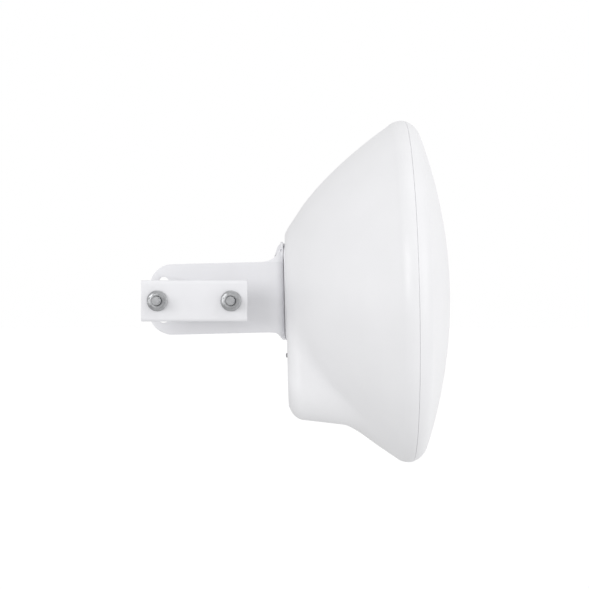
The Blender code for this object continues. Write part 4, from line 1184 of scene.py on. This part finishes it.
def swept(points, steps=4):
    """A smooth run through the points, by centripetal averaging of their neighbours."""
    result = []
    for i in range(len(points) - 1):
        a = Vector(points[max(i - 1, 0)])
        b, c = Vector(points[i]), Vector(points[i + 1])
        d = Vector(points[min(i + 2, len(points) - 1)])
        for k in range(steps):
            t = k / steps
            bend = 2 * b + (c - a) * t + (2 * a - 5 * b + 4 * c - d) * t**2 + (3 * b - a - 3 * c + d) * t**3
            result.append(tuple(bend / 2))
    return result + [tuple(points[-1])]


def bracket_outline():
    """The bracket's flat blank, anticlockwise, u along the strip and v up."""
    corner = 26.0
    reach = ARM_END - corner
    top_turn = math.asin((ARM_HIGH - corner) / reach)
    low_turn = math.asin((ARM_LOW + corner) / reach)
    top_centre = (-reach * math.cos(top_turn), ARM_HIGH - corner)
    low_centre = (-reach * math.cos(low_turn), ARM_LOW + corner)
    end = arc(top_centre, corner, QUARTER, math.pi - top_turn, 12)
    end += arc((0, 0), ARM_END, math.pi - top_turn, math.pi - low_turn, 20)[1:-1]
    end += arc(low_centre, corner, math.pi - low_turn, 3 * QUARTER, 12)
    middle = (FLANGE_HIGH + FLANGE_LOW) / 2
    flange_y = FLANGE_START - FOLD_RADIUS
    below = swept([(40, ARM_LOW), (45.5, -37.3), (50, -38.8), (53.9, -41.7), (57.2, -44.3), (62, FLANGE_LOW)])
    lip = [(2, 55.8), (5.5, 55.2), (9, 53.8), (11.2, 52), (13.6, 47.5), (16.2, 40.2), (18.3, 33), (19.1, 28)]
    lip_rise = swept([(SECOND_FOLD + along, rise) for along, rise in lip])
    above = swept(
        [
            (flange_y + 24, FLANGE_HIGH),
            (flange_y + 17, 64.2),
            (flange_y + 10, 59.9),
            (flange_y + 5.2, 57.6),
            (56.1, 56.0),
            (54.1, 54.6),
            (51.7, 51.8),
            (48.1, 48.2),
            (45.4, 46.0),
            (41, 44.2),
            (34, ARM_HIGH),
        ]
    )
    outline = end + below
    outline += [(u, middle - v) for u, v in lip_rise]
    outline += [(u, middle + v) for u, v in reversed(lip_rise)]
    return outline + above


def flared(shape):
    """Leans the corners beside the arm back from its straight edges towards the flange."""
    points = []
    for point in shape[0]:
        past = max(point.z - ARM_HIGH, ARM_LOW - point.z, 0.0)
        near = min(max((FOLD_RADIUS - point.y) / (FOLD_RADIUS - in_mm(sizes().sheet)), 0.0), 1.0)
        points.append(point + Vector((0.0, FLARE * past * near * near, 0.0)))
    return points, shape[1]


def arc_slot(radius, half_width):
    """The curved slot round the pivot."""
    low, high = math.pi - SLOT_HIGH, math.pi - SLOT_LOW
    points = arc((0, 0), radius + half_width, low, high, 20)
    end = (radius * math.cos(high), radius * math.sin(high))
    points += arc(end, half_width, high, high + math.pi, 14)[1:-1]
    points += arc((0, 0), radius - half_width, high, low, 20)
    end = (radius * math.cos(low), radius * math.sin(low))
    points += arc(end, half_width, low + math.pi, low + math.tau, 14)[1:-1]
    return points


class BRIDGE_OT_bracket(bpy.types.Operator):
    """Builds the folded steel bracket that carries the dish and tilts it"""

    bl_idname = "bridge.bracket"
    bl_label = "Tilting bracket"

    def execute(self, context):
        bolt = in_mm(sizes().bolt_radius)
        holes = [arc_slot(BOLT_SPACING, bolt + 0.5)]
        square = bolt + GAP
        holes.append(rounded((-square, -square), (square, square), 0.8, 3))
        for y, z in insert_places():
            spot = DISH_IN_HEAD @ Vector((0, y, z))
            holes.append(circle((FLANGE_START + spot.y - FOLD_RADIUS, spot.z), 3.5))
        sheet, edge = in_mm(sizes().sheet), in_mm(sizes().sheet_edge)
        blank = plate(bracket_outline(), holes, sheet, edge, 3)
        bends = [(FIRST_FOLD, QUARTER, FOLD_RADIUS), (SECOND_FOLD, QUARTER, FOLD_RADIUS)]
        creases = [ARM_HIGH + step for step in (-1, -0.3, 2, 5)]
        creases += [ARM_LOW + step for step in (1, 0.3, -2)]
        shape = flared(bent(blank, bends, creases))
        piece("folded_bracket", shape, powder_coat(), "head", ["tilt_bracket"], HEAD_FRAME)
        self.screws()
        return {"FINISHED"}

    def screws(self):
        """Flanged hexagon screws through the bracket into knurled brass inserts."""
        seat = -in_mm(sizes().body_depth) - PAD_HEIGHT - in_mm(sizes().sheet) - 2 * GAP
        for i, (y, z) in enumerate(insert_places(), 1):
            rows = [(0.0, 6.9, 0.0), (-0.5, 6.9, 0.0), (-1.3, 5.6, 0.0)]
            rows += [(-1.6, 4.7, 5.35), (-5.2, 4.7, 5.35), (-6.0, 4.6, 4.95)]
            head = hex_rows([(seat + x, low, corner) for x, low, corner in rows], 4.62, 48)
            top = [polar_ring(seat - up, r, 48) for up, r in ((6.4, 4.1), (6.4, 3.0), (5.4, 2.7))]
            shank = [polar_ring(x, r, 48) for x, r in ((-134.5, 2.6), (-134.9, 3.0), (seat, 3.0))]
            shape = lofted(shank + head + top)
            name, node = f"flange_screw_{i}", f"bracket_screw_{i}"
            place = DISH_FRAME @ at(0, y, z)
            piece(name, shape, zinc_plate(), "head", [node], place)
            front = -in_mm(sizes().body_depth) - PAD_HEIGHT + GAP
            knurl = [(front, 3.5), (front, 4.0), (front + 0.3, 4.2)]
            for k in range(5):
                x = front + 1.0 + 1.4 * k
                knurl += [(x, 4.2), (x + 0.3, 3.95), (x + 0.7, 3.95), (x + 1.0, 4.2)]
            knurl += [(-133.2, 4.2), (-133, 4.0), (-133, 3.4), (-133.2, 3.3), (front + 0.2, 3.3)]
            name, node = f"brass_insert_{i}", f"mount_insert_{i}"
            piece(name, turned_ring(knurl, 40), turned_brass(), "head", [node], place)


# ---- clamp, bolts and nuts ----------------------------------------------------------------
CLAMP_HALF_X, CLAMP_HALF_Z = 58.2, 22.6
CLAMP_FRONT, CLAMP_DEPTH, CLAMP_FOLD = -33.0, 16.0, 4.0
PIVOT_HOLE, LOOSE_HOLE = 5.8, 6.2
POLE_SIDE = 24.15
BOLT_END = -62.0
HEAD_RADIUS, HEAD_HEIGHT = 10.4, 4.1
THREAD_LENGTH, THREAD_DEPTH = 60.0, 0.8
NUT_HALF_FLATS = 8.0
NOTCH_HALF_ANGLE = math.radians(60)
NUT_TURN = math.radians(-18)


def hex_rows(rows, apothem, count, turn=0.0):
    """Rings of a hexagon cut by a cone. Each row is (x, round radius, corner limit)."""
    rings = []
    for x, low, corner in rows:
        def radius_at(angle, low=low, corner=corner):
            if corner <= 0.0:
                return low
            step = math.pi / 3
            off = (angle - turn) % step - step / 2
            return min(apothem / math.cos(off), corner)
        rings.append(polar_ring(x, radius_at, count))
    return rings


def thread_rows(start, end, radius, pitch, depth, count):
    """Rings of a screw thread along X, from a chamfered end towards where it runs out."""
    rings = []
    steps = int(abs(end - start) / pitch * 8)
    for x in evenly(start, end, steps):
        from_end = abs(x - start)
        runout = min(1.0, abs(end - x) / (2 * pitch))
        limit = radius - max(0.0, 1.1 - from_end)
        def radius_at(angle, x=x, runout=runout, limit=limit):
            phase = (x / pitch - angle / math.tau) % 1.0
            groove = depth * runout * (1 - abs(2 * phase - 1))
            return min(radius - groove, limit)
        rings.append(polar_ring(x, radius_at, count))
    return rings


def square_ring(x, half, corner, count):
    """A ring of a square with cut corners."""
    def radius_at(angle):
        return min(half / max(abs(math.cos(angle)), abs(math.sin(angle))), corner)
    return polar_ring(x, radius_at, count)


def carriage_bolt():
    """A domed-head bolt along X from its head at x = 0: square neck, plain shank, thread."""
    radius, pitch, sheet = in_mm(sizes().bolt_radius), in_mm(sizes().bolt_pitch), in_mm(sizes().sheet)
    count = 40
    length = sheet - BOLT_END + POLE_SIDE
    turns = evenly(0.0, QUARTER, 12)
    dome = [(-GAP - 0.9 - HEAD_HEIGHT * math.cos(a), HEAD_RADIUS * math.sin(a)) for a in turns]
    rings = [[Vector((dome[0][0], 0, 0))]]
    rings += [polar_ring(x, r, count) for x, r in dome[1:]]
    rings += [polar_ring(-GAP - 0.3, HEAD_RADIUS, count), polar_ring(-GAP, HEAD_RADIUS - 0.3, count)]
    neck = radius - 0.05
    rings += [square_ring(x, neck, radius * 1.32, count) for x in (-GAP, sheet - 0.9)]
    shank_end = length - THREAD_LENGTH - 2
    rings += [polar_ring(x, radius - 0.25, count) for x in (sheet - 0.2, shank_end)]
    rings += thread_rows(length, length - THREAD_LENGTH, radius, pitch, THREAD_DEPTH, count)[::-1]
    return lofted(rings)


def flange_nut():
    """A hexagon nut with a coned flange along X, from its seat at x = 0."""
    count, bore = 120, in_mm(sizes().bolt_radius) + 0.08
    rows = [(0.15, 10.6, 0), (0.0, 11.0, 0), (0.3, 11.4, 0), (1.2, 11.4, 0), (1.5, 11.1, 0), (2.6, 9.0, 0)]
    rows += [(2.7, 8.2, 8.3), (3.2, 0, 9.2), (8.9, 0, 9.2), (9.5, 0, 8.5), (9.9, 0, 7.9), (10.0, 0, 7.4)]
    outside = hex_rows(rows, NUT_HALF_FLATS, count, NUT_TURN)
    inner_rows = ((10.0, bore + 0.7), (9.5, bore), (0.9, bore), (0.15, bore + 0.9))
    inside = [polar_ring(x, r, count) for x, r in inner_rows]
    return lofted(outside + inside, closed=True)


def clamp_outline():
    """The clamp's flat blank: two toothed flanges either side of the web."""
    run = CLAMP_FOLD * QUARTER
    flange = CLAMP_DEPTH - CLAMP_FOLD
    web = 2 * (CLAMP_HALF_Z - CLAMP_FOLD)
    far = 2 * flange + 2 * run + web
    apex_y = -POLE_SIDE / math.sin(NOTCH_HALF_ANGLE) - 0.4
    mouth_y = CLAMP_FRONT + CLAMP_DEPTH
    teeth, bite = 6, 1.1
    side = []
    for i in range(2 * teeth + 1):
        y = apex_y + (mouth_y - apex_y) * i / (2 * teeth)
        x = (y - apex_y) * math.tan(NOTCH_HALF_ANGLE)
        deep = bite if i % 2 else 0.0
        reach = mouth_y - y + deep * math.sin(NOTCH_HALF_ANGLE)
        side.append((max(reach, 0.0), x + deep * math.cos(NOTCH_HALF_ANGLE)))
    notch = [(u, -x) for u, x in reversed(side[1:])] + side
    corner = 1.5
    ends = CLAMP_HALF_X
    left = arc((corner, -ends + corner), corner, 3 * QUARTER, 2 * QUARTER, 5)
    left += notch
    left += arc((corner, ends - corner), corner, 2 * QUARTER, QUARTER, 5)
    right = [(far - u, -x) for u, x in left]
    return left + right, flange + run + web / 2


class BRIDGE_OT_clamp(bpy.types.Operator):
    """Builds the folded clamp, its two carriage bolts and their flanged nuts"""

    bl_idname = "bridge.clamp"
    bl_label = "Pole clamp"

    def execute(self, context):
        sheet, edge = in_mm(sizes().sheet), in_mm(sizes().sheet_edge)
        outline, middle = clamp_outline()
        half = BOLT_SPACING / 2
        holes = [circle((middle, half), PIVOT_HOLE, 48), circle((middle, -half), LOOSE_HOLE, 48)]
        blank = plate(outline, holes, sheet, edge, 3)
        flange = CLAMP_DEPTH - CLAMP_FOLD
        run = CLAMP_FOLD * QUARTER
        web = 2 * (CLAMP_HALF_Z - CLAMP_FOLD)
        bends = [(flange, QUARTER, CLAMP_FOLD), (flange + run + web, QUARTER, CLAMP_FOLD)]
        points, faces = bent(blank, bends)
        # the fold runs along -Y, then up +Z, then back along +Y
        upright = [Vector((p.z, CLAMP_FRONT + CLAMP_DEPTH - p.x, p.y - CLAMP_HALF_Z)) for p in points]
        shape = upright, faces
        piece("folded_clamp", shape, powder_coat(), "clamp", ["pole_clamp"], CLAMP_FRAME)
        towards_front = Matrix.Rotation(-QUARTER, 4, "Z")
        steel = zinc_plate()
        for node, x in (("flange_nut_pivot", half), ("flange_nut_slot", -half)):
            place = CLAMP_FRAME @ at(x, CLAMP_FRONT - GAP, 0) @ towards_front
            piece(f"serrated_{node}", flange_nut(), steel, "clamp", [node], place)
        place = HEAD_FRAME @ at(0, in_mm(sizes().sheet), 0) @ towards_front
        piece("pivot_carriage_bolt", carriage_bolt(), steel, "head", ["pivot_bolt"], place)
        place = CLAMP_FRAME @ at(-half, POLE_SIDE + in_mm(sizes().sheet), 0) @ towards_front
        piece("slot_carriage_bolt", carriage_bolt(), steel, "clamp_bolts", ["slot_bolt"], place)
        return {"FINISHED"}


# ---- studio -------------------------------------------------------------------------------
class BRIDGE_OT_stage(bpy.types.Operator):
    """Sets the pale floor, the white surround, the soft boxes and the camera"""

    bl_idname = "bridge.stage"
    bl_label = "Studio"

    def execute(self, context):
        scene = context.scene
        scene.view_settings.view_transform = "Standard"
        self.floor(scene)
        self.surround(scene)
        self.lights(scene)
        camera = bpy.data.objects.new("camera", bpy.data.cameras.new("camera"))
        scene.collection.objects.link(camera)
        camera.location = scene.bridge_stage.camera_place
        camera.rotation_euler = (QUARTER, 0.0, 0.0)
        camera.data.lens = scene.bridge_stage.lens
        camera.data.clip_end = 100.0
        scene.camera = camera
        return {"FINISHED"}

    def floor(self, scene):
        made, tree, shader = new_material(
            "painted_floor", Roughness=0.7, Emission_Color=(1.0, 1.0, 1.0, 1.0), Emission_Strength=0.25
        )
        base = list(scene.bridge_colours.floor)
        tint = spread(tree, noise(tree, 400.0), 0.0, 1.0)
        tree.links.new(shades(tree, tint, darker(base, 0.99), base), shader.inputs["Base Color"])
        reach = 60
        corners = [(-reach, -reach, 0), (reach, -reach, 0), (reach, reach, 0), (-reach, reach, 0)]
        mesh = mesh_of("studio_floor", (corners, [(0, 1, 2, 3)]))
        floor = bpy.data.objects.new("studio_floor", mesh)
        floor.location.z = -scene.bridge_stage.floor_drop
        # the surround below the horizon lights the object's underside, so the floor needn't
        floor.visible_diffuse = False
        floor.visible_glossy = False
        mesh.materials.append(made)
        scene.collection.objects.link(floor)

    def surround(self, scene):
        world = bpy.data.worlds.new("white_surround")
        world.use_nodes = True
        tree = world.node_tree
        tree.nodes.clear()
        towards = add_node(tree, "ShaderNodeTexCoord").outputs["Generated"]
        direction = add_node(tree, "ShaderNodeSeparateXYZ", Vector=towards)
        stage = scene.bridge_stage
        upward = spread(tree, direction.outputs["Z"], stage.ground, stage.sky, -0.6, 0.6)
        # the pole's side of the room is a little dimmer, which shapes the bowl
        sideways = spread(tree, direction.outputs["X"], stage.pole_side, 1.0, -0.7, 0.7)
        times = add_node(tree, "ShaderNodeMath", {"operation": "MULTIPLY"})
        tree.links.new(upward, times.inputs[0])
        tree.links.new(sideways, times.inputs[1])
        glow = times.outputs[0]
        soft = add_node(tree, "ShaderNodeBackground", Color=(1, 1, 1, 1), Strength=glow)
        seen = add_node(tree, "ShaderNodeLightPath").outputs["Is Camera Ray"]
        bright = add_node(tree, "ShaderNodeBackground", Color=(1, 1, 1, 1), Strength=1.0)
        mix = add_node(tree, "ShaderNodeMixShader", Fac=seen)
        tree.links.new(soft.outputs[0], mix.inputs[1])
        tree.links.new(bright.outputs[0], mix.inputs[2])
        add_node(tree, "ShaderNodeOutputWorld", Surface=mix.outputs[0])
        scene.world = world

    def lights(self, scene):
        key = scene.bridge_stage.key
        aim = Vector((0.12, 0.0, 0.0))
        for name, place, size, power in (
            ("key_box", (-1.3, -2.2, 0.5), 1.2, key),
            ("side_box", (-2.1, -0.85, 0.05), 0.8, key * 0.1),
            ("fill_box", (2.2, -0.7, 0.2), 1.4, key * 0.35),
            ("top_box", (0.3, -0.5, 2.3), 1.4, key * 0.2),
        ):
            lamp = bpy.data.lights.new(name, "AREA")
            lamp.shape, lamp.size, lamp.energy = "SQUARE", size, power
            obj = bpy.data.objects.new(name, lamp)
            obj.location = place
            obj.rotation_euler = (aim - Vector(place)).to_track_quat("-Z", "Y").to_euler()
            scene.collection.objects.link(obj)


class BRIDGE_PT_panel(bpy.types.Panel):
    """Lists the wireless bridge's sizes, colours and builders"""

    bl_idname = "BRIDGE_PT_panel"
    bl_label = "Wireless Bridge"
    bl_space_type = "VIEW_3D"
    bl_region_type = "UI"
    bl_category = "Wireless Bridge"

    def draw(self, context):
        layout = self.layout
        for group in (context.scene.bridge_sizes, context.scene.bridge_colours, context.scene.bridge_stage):
            box = layout.box()
            for name in group.__annotations__:
                box.prop(group, name)
        for operator in OPERATORS:
            layout.operator(operator.bl_idname)


OPERATORS = (
    BRIDGE_OT_clamp,
    BRIDGE_OT_bracket,
    BRIDGE_OT_rear_shell,
    BRIDGE_OT_radome,
    BRIDGE_OT_reflector,
    BRIDGE_OT_feed,
    BRIDGE_OT_electronics,
    BRIDGE_OT_port_bay,
    BRIDGE_OT_port_door,
    BRIDGE_OT_stage,
)
CLASSES = (BridgeSizes, BridgeColours, StageSettings, *OPERATORS, BRIDGE_PT_panel)


def register():
    for made in CLASSES:
        bpy.utils.register_class(made)
    bpy.types.Scene.bridge_sizes = PointerProperty(type=BridgeSizes)
    bpy.types.Scene.bridge_colours = PointerProperty(type=BridgeColours)
    bpy.types.Scene.bridge_stage = PointerProperty(type=StageSettings)


def unregister():
    del bpy.types.Scene.bridge_stage
    del bpy.types.Scene.bridge_colours
    del bpy.types.Scene.bridge_sizes
    for made in reversed(CLASSES):
        bpy.utils.unregister_class(made)


def clear_startup_objects():
    for name in ("Cube", "Light", "Camera"):
        old = bpy.data.objects.get(name)
        if old:
            bpy.data.objects.remove(old)


def main():
    clear_startup_objects()
    register()
    for operator in OPERATORS:
        group, name = operator.bl_idname.split(".")
        getattr(getattr(bpy.ops, group), name)()


if __name__ == "__main__":
    main()
